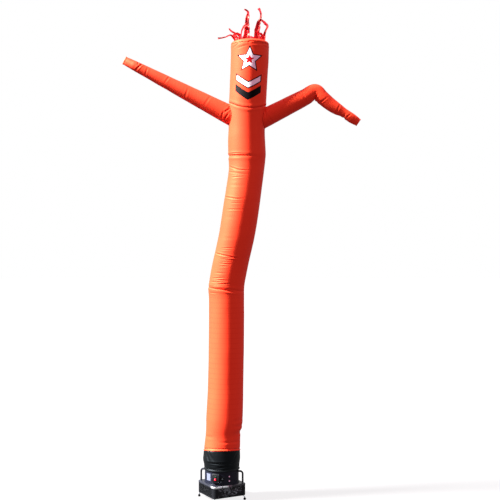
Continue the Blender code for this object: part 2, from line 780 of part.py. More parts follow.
def build_drum():
    inside = DRUM_RADIUS - DRUM_WALL
    on_base(
        turned(
            "drum",
            [
                (DRUM_RADIUS - 0.001, DRUM_TOP),
                (DRUM_RADIUS, DRUM_TOP - 0.001),
                (DRUM_RADIUS, DECK[1] + TOUCH),
                (inside, DECK[1] + TOUCH),
                (inside, DRUM_TOP - DRUM_WALL),
                (inside - DRUM_LIP, DRUM_TOP - DRUM_WALL),
                (inside - DRUM_LIP, DRUM_TOP),
            ],
            "steel_black",
            steps=TURN_STEPS,
        )
    )
    bend = arc((HANDLE_OUT - HANDLE_BEND, HANDLE_HEIGHT - HANDLE_BEND), HANDLE_BEND, 0, math.pi / 2, 6)
    path = [(HANDLE_OUT, DECK[1] + TOUCH), *bend, (DRUM_RADIUS + 2 * TOUCH, HANDLE_HEIGHT)]
    for side, turn in (("right", -math.pi / 4), ("left", 3 * math.pi / 4)):
        on_base(
            rod(
                "handle_" + side,
                [(out * math.cos(turn), out * math.sin(turn), height) for out, height in path],
                HANDLE_TUBE,
                "steel_black",
            )
        )


def build_fittings():
    drum_cutter = turned(
        "cutter_drum",
        [(0, DRUM_TOP), (DRUM_RADIUS + TOUCH, DRUM_TOP), (DRUM_RADIUS + TOUCH, DECK[0]), (0, DECK[0])],
        None,
        steps=96,
        loop=False,
    )
    drum_cutter.location.x = AXIS_X

    width, height, face = SWITCH
    back = DRUM_RADIUS - SWITCH_SUNK
    mesh = bpy.data.meshes.new("switch_box")
    bm = bmesh.new()
    bmesh.ops.create_cube(bm, size=1.0)
    bmesh.ops.scale(bm, vec=(width, height, face - back), verts=bm.verts)
    rounded = [edge for edge in bm.edges if max(vert.co.z for vert in edge.verts) > 0]
    bmesh.ops.bevel(
        bm, geom=rounded, offset=SWITCH_ROUND, segments=2, profile=0.5, affect="EDGES", material=-1
    )
    bm.to_mesh(mesh)
    bm.free()
    box = add_object("switch_box", mesh, "plastic_black")
    on_drum(box, SWITCH_AT[0], SWITCH_AT[1], (back + face) / 2)
    cut(box, drum_cutter)

    for name, (radius, up, deep) in BUTTONS.items():
        edge = radius * 0.2
        button = turned(
            name,
            [(0, deep), (radius - edge, deep), (radius, deep - edge), (radius, 0), (0, 0)],
            name,
            steps=20,
            loop=False,
        )
        on_drum(button, SWITCH_AT[0], up, face + TOUCH)

    inlet = turned(
        "cable_inlet",
        [(INLET_RADIUS * share, out) for share, out in INLET_PROFILE],
        "plastic_black",
        steps=24,
        loop=False,
    )
    on_drum(inlet, *INLET_AT, DRUM_RADIUS)
    cut(inlet, drum_cutter)

    clip_ends = []
    for degrees, up in CLIP:
        angle = math.radians(degrees)
        clip_ends.append((AXIS_X + CLIP_OUT * math.sin(angle), -CLIP_OUT * math.cos(angle), up))
    rod("inlet_clip", clip_ends, CLIP_RADIUS, "stem_steel", resolution=1)

    for name, up in PLUGS:
        plug = turned(
            name,
            [(PLUG_RADIUS * share, out) for share, out in PLUG_PROFILE],
            "plastic_white",
            steps=16,
            loop=False,
        )
        on_drum(plug, PLUGS_AT, up, DRUM_RADIUS + TOUCH)

    label_radius = DRUM_RADIUS + TOUCH
    mesh = bpy.data.meshes.new("label_plate")
    bm = bmesh.new()
    bmesh.ops.create_grid(bm, x_segments=6, y_segments=1, size=0.5)
    for vert in bm.verts:
        share, up = vert.co.x + 0.5, vert.co.y + 0.5
        angle = math.radians(LABEL_FROM_TO[0] + (LABEL_FROM_TO[1] - LABEL_FROM_TO[0]) * share)
        vert.co = (
            AXIS_X + label_radius * math.sin(angle),
            -label_radius * math.cos(angle),
            LABEL_HEIGHTS[0] + (LABEL_HEIGHTS[1] - LABEL_HEIGHTS[0]) * up,
        )
    bm.to_mesh(mesh)
    bm.free()
    label = add_object("label_plate", mesh, "plastic_white")
    shell(label, LABEL_THICK, offset=1.0)


clear_scene()
make_materials()
PARTS = new_collection(OBJECT_NAME)
CUTTERS = new_collection("cutters")
BLOWER = bpy.data.objects.new("blower_axis", None)
PARTS.objects.link(BLOWER)
BLOWER.location.x = AXIS_X
BLOWER.rotation_euler.z = BASE_TURN
build_base()
build_drum()
build_fittings()
build_cloth()
build_hair()
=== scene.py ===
# %% [markdown]
# # An inflatable air dancer on its blower
#
# The real thing is a thin nylon tube, six metres tall, that a blower keeps upright. This script dresses its plain
# solids: each cloth piece is cut flat as a grid, rolled round the figure's middle line and creased, and the blower's
# hard pieces get rounder copies, small fittings and their own finishes.

import json
import math

import bmesh
import bpy
from mathutils import Matrix, Vector, noise

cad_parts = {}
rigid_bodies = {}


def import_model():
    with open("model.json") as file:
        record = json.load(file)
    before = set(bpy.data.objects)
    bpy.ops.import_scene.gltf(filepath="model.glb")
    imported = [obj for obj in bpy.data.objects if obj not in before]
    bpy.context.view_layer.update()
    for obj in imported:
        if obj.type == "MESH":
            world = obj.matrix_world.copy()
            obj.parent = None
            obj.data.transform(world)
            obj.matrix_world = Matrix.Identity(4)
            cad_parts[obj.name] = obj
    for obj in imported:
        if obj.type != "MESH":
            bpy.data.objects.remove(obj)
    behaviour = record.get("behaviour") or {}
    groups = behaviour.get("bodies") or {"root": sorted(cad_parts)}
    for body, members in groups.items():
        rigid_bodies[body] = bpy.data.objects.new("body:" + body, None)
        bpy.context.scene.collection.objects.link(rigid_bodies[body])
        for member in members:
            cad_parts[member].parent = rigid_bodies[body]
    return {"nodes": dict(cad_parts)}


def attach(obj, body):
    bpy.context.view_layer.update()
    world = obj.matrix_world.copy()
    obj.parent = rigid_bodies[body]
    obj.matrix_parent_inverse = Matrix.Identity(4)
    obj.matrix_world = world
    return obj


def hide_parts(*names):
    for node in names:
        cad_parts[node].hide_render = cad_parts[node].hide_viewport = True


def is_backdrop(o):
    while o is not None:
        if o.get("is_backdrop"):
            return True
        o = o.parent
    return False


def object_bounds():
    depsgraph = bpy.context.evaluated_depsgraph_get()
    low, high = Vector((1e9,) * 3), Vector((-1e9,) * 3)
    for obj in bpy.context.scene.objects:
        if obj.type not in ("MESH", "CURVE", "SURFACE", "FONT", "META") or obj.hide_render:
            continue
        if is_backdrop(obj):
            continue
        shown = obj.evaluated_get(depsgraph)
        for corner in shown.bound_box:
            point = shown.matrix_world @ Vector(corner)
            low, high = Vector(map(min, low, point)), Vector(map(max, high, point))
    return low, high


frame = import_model()
solid_box = [list(corner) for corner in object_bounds()]
print("solids:", [[round(value, 3) for value in corner] for corner in solid_box])

# %% [markdown]
# Every finish, and the light of the sky, is a small tree of nodes. A colour is written as the sRGB hex that a
# colour picker shows, and has to be turned to linear light before Blender gets it. One function adds any node.

# %% Helpers for nodes


def linear(hex_colour):
    """An sRGB hex colour as linear red, green, blue and alpha."""
    parts = [int(hex_colour[i : i + 2], 16) / 255 for i in (1, 3, 5)]
    return (*[part / 12.92 if part <= 0.04045 else ((part + 0.055) / 1.055) ** 2.4 for part in parts], 1.0)


def add_node(tree, kind, *inputs, **settings):
    """Adds a node. Its inputs are numbers or sockets of other nodes, given in order, or by name with a capital
    letter and _ for a space. Names in small letters are the node's own settings."""
    made = tree.nodes.new("ShaderNode" + kind)
    for name, value in settings.items():
        if name[0].islower():
            setattr(made, name, value)
    named = [(name.replace("_", " "), value) for name, value in settings.items() if name[0].isupper()]
    for socket, value in [*enumerate(inputs), *named]:
        if isinstance(value, bpy.types.NodeSocket):
            tree.links.new(value, made.inputs[socket])
        else:
            made.inputs[socket].default_value = value
    return made


def new_finish(name, colour, roughness, **sockets):
    """A material with its shader's constant sockets set; returns it, its tree and the shader."""
    finish = bpy.data.materials.new(name)
    finish.use_nodes = True
    shader = finish.node_tree.nodes["Principled BSDF"]
    shader.inputs["Base Color"].default_value = linear(colour)
    shader.inputs["Roughness"].default_value = roughness
    for socket, value in sockets.items():
        shader.inputs[socket.replace("_", " ")].default_value = value
    finish.diffuse_color = linear(colour)
    return finish, finish.node_tree, shader


print("one colour:", [round(part, 3) for part in linear("#E8191A")])

# %% [markdown]
# The camera comes first, so that every later choice can be judged through it. It stands level at half the figure's
# height, twelve metres away. A long lens that far back keeps the upright tube from narrowing towards its top.

# %% Camera
camera_data = bpy.data.cameras.new("camera")
camera_data.lens = 68.03
camera_data.sensor_width = 36.0
camera_data.clip_end = 400.0
camera = bpy.data.objects.new("camera", camera_data)
camera.location = (0.118, -12.0, 3.15)
camera.rotation_euler = (math.pi / 2, 0, 0)
bpy.context.scene.collection.objects.link(camera)
bpy.context.scene.camera = camera
print("camera:", tuple(camera.location), "lens", camera_data.lens)

# %% [markdown]
# The light comes from high on the left and a little from the front. It leaves the tube's right side in its own deep
# colour, which is what makes it look round, and the head's shadow falls along the top of the right arm. A lamp type with
# parallel rays lights six metres evenly. The sky is bright overhead and dim at the horizon, and its soft light is
# faintly pink, as it is between red cloth walls. The Standard view keeps the cloth's strong colour, where a filmic
# one would grey it.

# %% Light
LAMP_HEIGHT, LAMP_FORWARD = math.radians(39.5), math.radians(10.5)
to_lamp = Vector((-math.cos(LAMP_FORWARD), -math.sin(LAMP_FORWARD), math.tan(LAMP_HEIGHT)))
lamp_data = bpy.data.lights.new("key", "SUN")
lamp_data.energy = 30.0
lamp_data.angle = math.radians(11)
lamp = bpy.data.objects.new("key", lamp_data)
lamp.rotation_euler = to_lamp.to_track_quat("Z", "Y").to_euler()
bpy.context.scene.collection.objects.link(lamp)

GROUND, HORIZON, ZENITH = 0.31, 0.45, 1.1  # how bright the surroundings are
world = bpy.data.worlds.new("studio")
world.use_nodes = True
tree = world.node_tree
direction = add_node(tree, "SeparateXYZ", add_node(tree, "TexCoord").outputs["Generated"])
sky = add_node(
    tree, "MapRange", direction.outputs["Z"], 0.05, 0.85, HORIZON, ZENITH, interpolation_type="SMOOTHSTEP"
)
above = add_node(tree, "MapRange", direction.outputs["Z"], -0.1, 0.05, GROUND, sky.outputs["Result"])
seen = add_node(tree, "LightPath")
strength = add_node(tree, "Math", seen.outputs["Is Camera Ray"], above.outputs["Result"], operation="MAXIMUM")
soft = add_node(
    tree, "Mix", Factor=seen.outputs["Is Diffuse Ray"], A=linear("#FFFFFF"), B=linear("#FFAFD6"), data_type="RGBA"
)
tree.links.new(strength.outputs[0], tree.nodes["Background"].inputs["Strength"])
tree.links.new(soft.outputs["Result"], tree.nodes["Background"].inputs["Color"])
bpy.context.scene.world = world
bpy.context.scene.view_settings.view_transform = "Standard"
print("lamp:", lamp_data.energy, "surroundings:", GROUND, HORIZON, ZENITH)

# %% [markdown]
# Air dancers are sewn from coated ripstop nylon: a thin plain weave with a thicker thread every few millimetres,
# which stops a tear from running. Its squares are really 5 mm wide. They are drawn 15 mm wide here, so that a
# picture of the whole figure can just hold them. The pattern follows each piece's own flat cut, through its UV map
# in metres, so it turns with the cloth. The coating gives a broad warm shine, set by a high roughness and a tint.

# %% Ripstop nylon
RIPSTOP_SQUARE = 0.015
RIPSTOP_THREAD = 0.0016
CRUMPLE_ACROSS, CRUMPLE_ALONG = 5.0, 42.0  # fine wrinkles in a metre, round the tube and along it


def weave_height(tree, place):
    """The height of the thicker threads, from 0 to 1."""
    parts = add_node(tree, "SeparateXYZ", place)
    ridges = []
    for axis in ("X", "Y"):
        swing = add_node(tree, "Math", parts.outputs[axis], RIPSTOP_SQUARE / 2, operation="PINGPONG")
        ridge = add_node(
            tree, "MapRange", swing.outputs[0], 0.0, RIPSTOP_THREAD, 1.0, 0.0, interpolation_type="SMOOTHSTEP"
        )
        ridges.append(ridge.outputs["Result"])
    return add_node(tree, "Math", *ridges, operation="MAXIMUM").outputs[0]


def ripstop(name, colour, worn, roughness, tint, density):
    finish, tree, shader = new_finish(name, colour, roughness, IOR=density, Specular_Tint=linear(tint))
    place = add_node(tree, "UVMap", uv_map="cloth").outputs["UV"]
    threads = weave_height(tree, place)
    stretched = add_node(tree, "Mapping", place, Scale=(CRUMPLE_ACROSS, CRUMPLE_ALONG, 1.0))
    crumple = add_node(tree, "TexNoise", stretched.outputs[0], Scale=1.0, Detail=2.0, Roughness=0.5)
    weave_bump = add_node(tree, "Bump", Strength=0.3, Distance=0.0003, Height=threads)
    crumple_height, weave_normal = crumple.outputs["Fac"], weave_bump.outputs["Normal"]
    bump = add_node(tree, "Bump", Strength=0.3, Distance=0.002, Height=crumple_height, Normal=weave_normal)
    tree.links.new(bump.outputs["Normal"], shader.inputs["Normal"])
    spots = add_node(tree, "TexNoise", place, Scale=3.5, Detail=4.0, Roughness=0.6)
    fade = add_node(tree, "MapRange", spots.outputs["Fac"], 0.35, 0.75, 0.0, 0.55)
    dyed = add_node(
        tree, "Mix", Factor=fade.outputs["Result"], A=linear(colour), B=linear(worn), data_type="RGBA"
    )
    woven = add_node(tree, "Mix", Factor=threads, A=dyed.outputs["Result"], B=linear(worn), data_type="RGBA")
    tree.links.new(woven.outputs["Result"], shader.inputs["Base Color"])
    return finish, tree, shader


ORANGE_NYLON = ("#E43E24", "#DC3320", 0.62, "#FFC66A", 1.45)
# the hair is the same nylon with its colour darkened: painted shade for the thin strips
HAIR_NYLON_PAINTED_SHADE = ("#BE1C2C", "#9A1434", 0.50, "#FFB473", 1.60)
hair_nylon_painted_shade, _, _ = ripstop("ripstop_nylon_hair_painted_shade", *HAIR_NYLON_PAINTED_SHADE)
nylon_orange, _, _ = ripstop("ripstop_nylon_orange", *ORANGE_NYLON)
nylon_black, _, _ = ripstop("ripstop_nylon_black", "#060708", "#040506", 0.42, "#B8C8D4", 1.30)
print("cloth finishes:", nylon_orange.name, nylon_black.name)

# %% [markdown]
# All the tube's pieces share one middle line, so that their seams meet. It is a short table of where the tube's
# middle is and how wide it is at each height. A curve through the rows that keeps their slopes gives any height.

# %% The tube's middle line
# height, across, back, radius
SPINE = (
    (0.380, -0.240, 0.000, 0.2235),
    (0.440, -0.241, 0.000, 0.2250),
    (0.500, -0.243, 0.000, 0.2350),
    (0.560, -0.240, 0.000, 0.2330),
    (0.612, -0.238, 0.000, 0.2295),
    (0.712, -0.231, 0.002, 0.2240),
    (0.813, -0.225, 0.004, 0.2190),
    (0.915, -0.212, 0.006, 0.2280),
    (1.020, -0.206, 0.008, 0.2320),
    (1.420, -0.192, 0.016, 0.2250),
    (2.130, -0.181, 0.028, 0.2240),
    (2.540, -0.181, 0.030, 0.2250),
    (2.660, -0.184, 0.030, 0.2290),
    (2.745, -0.174, 0.026, 0.2290),
    (2.950, -0.136, 0.012, 0.2290),
    (3.350, -0.047, -0.016, 0.2300),
    (3.760, 0.017, -0.024, 0.2290),
    (4.165, 0.073, -0.004, 0.2250),
    (4.300, 0.080, 0.006, 0.2330),
    (4.375, 0.080, 0.010, 0.2390),
    (4.570, 0.074, 0.006, 0.2340),
    (4.700, 0.077, 0.003, 0.2300),
    (4.970, 0.086, 0.000, 0.2350),
    (5.260, 0.099, -0.004, 0.2370),
    (5.560, 0.114, -0.006, 0.2400),
    (5.760, 0.118, -0.006, 0.2413),
)


def along_table(rows, at):
    """The columns of a table at a value of its first one, on a smooth curve through its rows."""
    low = max(i for i in range(len(rows) - 1) if rows[i][0] <= at or i == 0)
    before, first, second, after = (rows[min(max(low + step, 0), len(rows) - 1)] for step in (-1, 0, 1, 2))
    span = second[0] - first[0]
    t = min(max((at - first[0]) / span, -0.5), 1.5)
    found = []
    for column in range(1, len(first)):
        slope_first = (second[column] - before[column]) / (second[0] - before[0]) * span
        slope_second = (after[column] - first[column]) / (after[0] - first[0]) * span
        found.append(
            (2 * t**3 - 3 * t**2 + 1) * first[column]
            + (t**3 - 2 * t**2 + t) * slope_first
            + (3 * t**2 - 2 * t**3) * second[column]
            + (t**3 - t**2) * slope_second
        )
    return found


print("tube at the shoulder:", [round(value, 3) for value in along_table(SPINE, 4.995)])

# %% [markdown]
# Inflated cloth is smooth where it is tight and creases only where the tube bends. Each crease is a row of a table:
# a soft trough that runs part of the way round, with a low swelling above and below it. Placing them one by one
# keeps them as uneven as real ones, where a noise pattern would look the same all over.

# %% Creases
TURN = 2 * math.pi
CREASE_SWELL = 0.38  # the swelling beside a trough, as a share of its depth
# height, rise for each radian round, depth, half width, facing and spread in degrees
# (-90 degrees is the front and 180 the left)
BODY_CREASES = (
    (4.338, -0.008, 0.008, 0.018, -165, 125),
    (4.337, -0.013, 0.010, 0.006, -128, 66),
    (4.362, -0.004, 0.004, 0.007, -140, 40),
    (4.180, -0.062, 0.006, 0.008, -140, 44),
    (4.150, -0.020, 0.006, 0.007, -108, 30),
    (4.117, -0.030, 0.005, 0.007, -128, 50),
    (4.092, -0.012, 0.004, 0.007, -112, 28),
    (4.064, 0.006, 0.004, 0.008, -116, 30),
    (3.960, -0.015, 0.003, 0.010, -118, 35),
    (3.806, -0.032, 0.007, 0.008, -138, 46),
    (3.790, 0.004, 0.005, 0.006, -106, 26),
    (3.735, -0.010, 0.003, 0.007, -108, 22),
    (3.655, -0.008, 0.004, 0.008, -112, 34),
    (3.560, -0.014, 0.002, 0.010, -122, 30),
    (3.300, -0.010, 0.003, 0.009, -112, 26),
    (3.172, 0.004, 0.004, 0.007, -112, 28),
    (3.152, -0.008, 0.003, 0.007, -116, 24),
    (3.085, -0.040, 0.008, 0.008, -120, 62),
    (3.056, 0.004, 0.006, 0.006, -92, 26),
    (3.030, -0.020, 0.005, 0.006, -104, 24),
    (3.006, 0.010, 0.004, 0.006, -102, 22),
    (2.975, -0.024, 0.005, 0.007, -106, 24),
    (2.945, 0.004, 0.004, 0.007, -108, 20),
    (2.862, -0.012, 0.003, 0.009, -118, 26),
    (2.800, 0.012, 0.005, 0.007, -122, 30),
    (2.775, -0.018, 0.006, 0.007, -112, 32),
    (2.752, 0.006, 0.006, 0.007, -124, 34),
    (2.728, -0.012, 0.007, 0.007, -108, 30),
    (2.706, 0.008, 0.005, 0.006, -120, 32),
    (2.660, -0.022, 0.007, 0.016, -110, 125),
    (2.664, -0.020, 0.010, 0.006, -130, 66),
    (2.632, -0.060, 0.009, 0.008, -78, 26),
    (2.610, -0.010, 0.003, 0.007, -140, 26),
    (1.010, 0.010, 0.003, 0.016, -30, 50),
    (0.930, -0.012, 0.004, 0.018, -20, 55),
    (0.850, 0.010, 0.009, 0.028, 10, 80),
    (0.800, 0.014, 0.004, 0.016, -150, 40),
    (0.742, -0.010, 0.003, 0.014, -60, 50),
)
SLEEVE_CREASES = (
    (0.482, 0.004, 0.008, 0.012, -105, 62),
    (0.474, 0.090, 0.006, 0.009, -62, 24),
    (0.452, -0.010, 0.004, 0.010, -110, 50),
    (0.556, -0.360, 0.007, 0.020, -138, 12),
    (0.560, -0.300, 0.006, 0.018, -122, 11),
    (0.566, 0.200, 0.004, 0.016, -40, 14),
    (0.432, 0.030, 0.005, 0.009, -90, 40),
    (0.500, 0.020, 0.006, 0.014, 60, 70),
    (0.540, -0.150, 0.005, 0.016, 120, 26),
)


def crease_depth(creases, angle, along):
    """How far the creases push the cloth in, at an angle round a tube and a place along it."""
    depth = 0.0
    for at, rise, deep, wide, facing, spread in creases:
        if abs(along - at) > 5 * wide + abs(rise) * math.radians(spread):
            continue
        turn = (angle - math.radians(facing) + math.pi) % TURN - math.pi
        share = abs(turn) / math.radians(spread)
        if share < 1:
            over = (along - at - rise * turn) / wide
            sides = math.exp(-((over - 1.9) ** 2)) + math.exp(-((over + 1.9) ** 2))
            fading = math.cos(share * math.pi / 2) ** 1.4
            depth += deep * fading * (math.exp(-over * over) - CREASE_SWELL * sides)
    return depth


def ripple(angle, along, waves, seed):
    """An uneven wave from -1 to 1 that meets itself all the way round."""
    return noise.noise(Vector((math.cos(angle) * waves, math.sin(angle) * waves, along * 6.0 + seed)))


print(len(BODY_CREASES), "creases on the body,", len(SLEEVE_CREASES), "on the sleeve")

# %% [markdown]
# A tube of cloth starts as a flat rectangle. A function says where each point of a flat grid goes. Where the two
# long edges meet they are merged, which is the tube's own seam. Its UVs are the flat cloth's real metres. Solidify
# gives it a thickness at the end, so that it has an inside and a rim.

# %% Cutting and rolling cloth
CLOTH = 0.0015


def add_piece(name, mesh, finish, slot):
    """Adds a mesh as a piece of the dancer, with a finish; slot, one of the record's slots, is not used."""
    piece = bpy.data.objects.new(name, mesh)
    bpy.context.scene.collection.objects.link(piece)
    mesh.materials.append(finish)
    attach(piece, "root")
    return piece


def cloth_mesh(name, around, rows, place, size, rolled=True):
    """A grid of cloth. place gives the point for a share across and along, and size its flat width and length."""
    bm = bmesh.new()
    bmesh.ops.create_grid(bm, x_segments=around, y_segments=rows, size=0.5)
    flat = bm.loops.layers.uv.new("cloth")
    for face in bm.faces:
        for corner in face.loops:
            corner[flat].uv = ((corner.vert.co.x + 0.5) * size[0], (corner.vert.co.y + 0.5) * size[1])
    for vert in bm.verts:
        vert.co = place(vert.co.x + 0.5, vert.co.y + 0.5)
    if rolled:
        bmesh.ops.remove_doubles(bm, verts=bm.verts, dist=0.00002)
    mesh = bpy.data.meshes.new(name)
    bm.to_mesh(mesh)
    bm.free()
    mesh.shade_smooth()
    return mesh


def thicken(piece, thickness=CLOTH, offset=-1.0):
    modifier = piece.modifiers.new("Thickness", "SOLIDIFY")
    modifier.thickness = thickness
    modifier.offset = offset
    return piece


def area_of(mesh):
    return sum(face.area for face in mesh.polygons)


def tube_point(angle, height, push):
    """A point on the tube, pushed in from its plain radius."""
    across, back, radius = along_table(SPINE, height)
    radius -= push
    return Vector((across + radius * math.cos(angle), back + radius * math.sin(angle), height))


SEAM_AT = math.radians(90)  # the long seam is at the back


def sew_lip(distance, reach=0.016, out=0.0045):
    """How far a turned and sewn edge stands out, at a distance from it: a roll, then a groove at the stitches."""
    return out * math.exp(-((distance / reach) ** 2) * 1.6) - out * 0.8 * math.exp(
        -(((distance - reach * 1.7) / (reach * 0.45)) ** 2)
    )


def seam_lip(distance, deep=0.0035, out=0.003):
    """A sewn seam on the blown-up tube: the thread pulls it in, and the cloth swells up beside it."""
    return out * math.exp(-(((distance - 0.026) / 0.016) ** 2)) - deep * math.exp(-((distance / 0.007) ** 2))


print("cloth is drawn", CLOTH * 1000, "mm thick")

# %% [markdown]
# The black sleeve pulls over the blower's outlet and takes the wear there. Its top edge goes up inside the orange
# tube's hem, and its bottom edge is turned and sewn, so it stands out in a roll. It starts a little in from the
# sleeve's solid, because cloth may not reach past it by much.

# %% Sleeve
HEM, HEM_TILT = 0.6125, 0.0325
SLEEVE_FOOT, TUCK_RISE, TUCK = 0.380, 0.024, 0.004


def hem(angle):
    """The height of the body's hem, which is tilted up towards the front."""
    return HEM - HEM_TILT * math.sin(angle)


def sleeve_point(share, up):
    angle = SEAM_AT + share * TURN
    height = SLEEVE_FOOT + (hem(angle) + TUCK_RISE - SLEEVE_FOOT) * up
    below = hem(angle) - height
    tucked = TUCK * min(max((0.014 - below) / 0.010, 0.0), 1.0)
    gathers = 0.0028 * ripple(angle, height * 0.3, 6.0, 4.0) * math.exp(-((below / 0.05) ** 2))
    push = crease_depth(SLEEVE_CREASES, angle, height) + tucked + gathers
    return tube_point(angle, height, push - sew_lip(height - SLEEVE_FOOT, 0.014, 0.005))


sleeve = add_piece(
    "sleeve_cloth",
    cloth_mesh("sleeve_cloth", 144, 52, sleeve_point, (1.45, HEM + TUCK_RISE - SLEEVE_FOOT)),
    nylon_black,
    "nylon_black",
)
thicken(sleeve)
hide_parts("sleeve")
print("sleeve:", round(area_of(sleeve.data), 3), "square metres")

# %% [markdown]
# The body is one long tube with its hem over the sleeve and its top cut to a shallow curve, where the head is sewn
# on. Rows of the grid are set closer where the cloth creases: a table gives the row spacing of each stretch. The
# hem's lip is gathered, because the cloth round it is eased onto a tighter band.

# %% Body
SHOULDER_FOOT = 4.600  # the rows are level up to here
SHOULDER_SEAM, SHOULDER_DROP_RIGHT, SHOULDER_DIP = 4.995, 0.020, 0.072
# from, to, row spacing
BODY_ROWS = (
    (0.760, 1.060, 0.014),
    (1.060, 2.560, 0.045),
    (2.560, 2.830, 0.0042),
    (2.830, 3.200, 0.0055),
    (3.200, 3.620, 0.016),
    (3.620, 3.840, 0.0065),
    (3.840, 4.040, 0.014),
    (4.040, 4.230, 0.0055),
    (4.230, 4.300, 0.010),
    (4.300, 4.390, 0.0042),
    (4.390, SHOULDER_FOOT, 0.014),
)
HEM_ROWS, YOKE_ROWS = 34, 36


def row_heights(stretches):
    heights = []
    for low, high, spacing in stretches:
        count = max(1, round((high - low) / spacing))
        heights += [low + (high - low) * i / count for i in range(count)]
    return [*heights, stretches[-1][1]]


def shoulder_seam(angle):
    return SHOULDER_SEAM - SHOULDER_DROP_RIGHT * math.cos(angle) - SHOULDER_DIP * math.sin(angle) ** 2


body_heights = row_heights(BODY_ROWS)
level_rows = len(body_heights) - 1
body_rows = HEM_ROWS + level_rows + YOKE_ROWS


def body_row_height(angle, row):
    """The height of a row of the body's grid: level ones between rows that fan out to the hem and the shoulder."""
    if row < HEM_ROWS:
        return hem(angle) + (body_heights[0] - hem(angle)) * row / HEM_ROWS
    row -= HEM_ROWS
    if row < level_rows:
        low = min(int(row + 0.001), level_rows - 1)
        return body_heights[low] + (body_heights[low + 1] - body_heights[low]) * (row - low)
    return SHOULDER_FOOT + (shoulder_seam(angle) - 0.0003 - SHOULDER_FOOT) * (row - level_rows) / YOKE_ROWS


def body_point(share, up):
    angle = SEAM_AT + share * TURN
    height = body_row_height(angle, up * body_rows)
    above = height - hem(angle)
    seam = shoulder_seam(angle) - height
    push = crease_depth(BODY_CREASES, angle, height)
    push += 0.0035 * ripple(angle, height * 0.1, 7.0, 1.0) * math.exp(-((above / 0.045) ** 2))
    push += 0.0022 * ripple(angle, height * 0.2, 8.0, 2.0) * math.exp(-((seam / 0.045) ** 2))
    push += 0.0016 * ripple(angle, height, 1.4, 9.0)
    push -= sew_lip(above, 0.014, 0.0055) + seam_lip(seam)
    return tube_point(angle, height, push)


body = add_piece(
    "body_cloth",
    cloth_mesh("body_cloth", 112, body_rows, body_point, (1.44, SHOULDER_SEAM - HEM)),
    nylon_orange,
    "nylon_orange",
)
thicken(body)
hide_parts("body_lower", "body_middle", "body_upper")
print("body:", body_rows, "rows,", round(area_of(body.data), 3), "square metres")

# %% [markdown]
# The head is a plain tube above the shoulder seam, and a round cap closes it. The front of such a head is printed
# in white, black and red. Here it carries a generic print of those colours: a star over a pair of chevrons.
# Painting it in the material, by distances on the cloth's own UV map, keeps its edges sharp at any size.

# %% Printed nylon for the head
HEAD_FOOT_ROW = 4.923  # the height at the front of the shoulder seam
HEAD_WIDTH = 1.49
CAP_SEAM = 5.745
STAR_UP, STAR_SIZE, NOTCH = 0.600, 0.150, 0.46  # its middle above the seam, its radius, the notches' share of it
CHEVRON_HALF, CHEVRON_SLOPE, CHEVRON_DEEP = 0.175, 0.50, 0.095
CHEVRON_FEET = (0.235, 0.095)
INK_EDGE = 0.016
BLACK_INK, WHITE_INK, RED_INK = "#090709", "#EFEBEA", "#B80E18"


def star_mask(tree, across, up, size):
    """1 inside a five-pointed star: each of its edges is a straight line from a tip to a notch."""
    slant = math.atan2(NOTCH * math.sin(math.pi / 5), 1 - NOTCH * math.cos(math.pi / 5))
    turn = add_node(tree, "Math", across, up, operation="ARCTAN2").outputs[0]
    point = add_node(tree, "Math", turn, math.pi / 5, operation="PINGPONG").outputs[0]
    lean = add_node(tree, "Math", add_node(tree, "Math", point, slant).outputs[0], operation="SINE").outputs[0]
    spot = add_node(tree, "CombineXYZ", across, up)
    reach = add_node(tree, "VectorMath", spot.outputs[0], operation="LENGTH").outputs["Value"]
    line = add_node(tree, "Math", reach, lean, operation="MULTIPLY").outputs[0]
    return add_node(tree, "Math", line, size * math.sin(slant), operation="LESS_THAN").outputs[0]


def chevron_mask(tree, across, up, half_width, low, high):
    """1 in a band that dips to a point in the middle."""
    side = add_node(tree, "Math", across, operation="ABSOLUTE").outputs[0]
    level = add_node(tree, "Math", side, -CHEVRON_SLOPE, up, operation="MULTIPLY_ADD").outputs[0]
    mask = add_node(tree, "Math", side, half_width, operation="LESS_THAN").outputs[0]
    for limit, way in ((low, "GREATER_THAN"), (high, "LESS_THAN")):
        inside = add_node(tree, "Math", level, limit, operation=way).outputs[0]
        mask = add_node(tree, "Math", mask, inside, operation="MULTIPLY").outputs[0]
    return mask


printed_nylon, tree, shader = ripstop("ripstop_nylon_printed", *ORANGE_NYLON)
flat_cloth = add_node(tree, "SeparateXYZ", add_node(tree, "UVMap", uv_map="cloth").outputs["UV"])
across = add_node(tree, "Math", flat_cloth.outputs["X"], HEAD_WIDTH / 2, operation="SUBTRACT").outputs[0]
up = flat_cloth.outputs["Y"]
star_up = add_node(tree, "Math", up, STAR_UP, operation="SUBTRACT").outputs[0]
layers = [
    (star_mask(tree, across, star_up, STAR_SIZE + INK_EDGE * 2), BLACK_INK),
    (star_mask(tree, across, star_up, STAR_SIZE), WHITE_INK),
    (star_mask(tree, across, star_up, STAR_SIZE * 0.42), RED_INK),
]
for foot, shade in zip(CHEVRON_FEET, (WHITE_INK, BLACK_INK)):
    top = foot + CHEVRON_DEEP
    layers.append((chevron_mask(tree, across, up, CHEVRON_HALF, foot, top), BLACK_INK))
    inner = (CHEVRON_HALF - INK_EDGE, foot + INK_EDGE, top - INK_EDGE)
    layers.append((chevron_mask(tree, across, up, *inner), shade))
colour = shader.inputs["Base Color"].links[0].from_socket
shine = None
for mask, shade in layers:
    colour = add_node(tree, "Mix", Factor=mask, A=colour, B=linear(shade), data_type="RGBA").outputs["Result"]
    shine = add_node(tree, "Math", shine, mask, operation="MAXIMUM").outputs[0] if shine else mask
# ink hides the cloth's warm shine
tint = add_node(tree, "Mix", Factor=shine, A=linear(ORANGE_NYLON[3]), B=linear("#2A2A2C"), data_type="RGBA")
tree.links.new(tint.outputs["Result"], shader.inputs["Specular Tint"])
tree.links.new(colour, shader.inputs["Base Color"])
print("printed finish:", printed_nylon.name, "with", len(layers), "layers of ink")

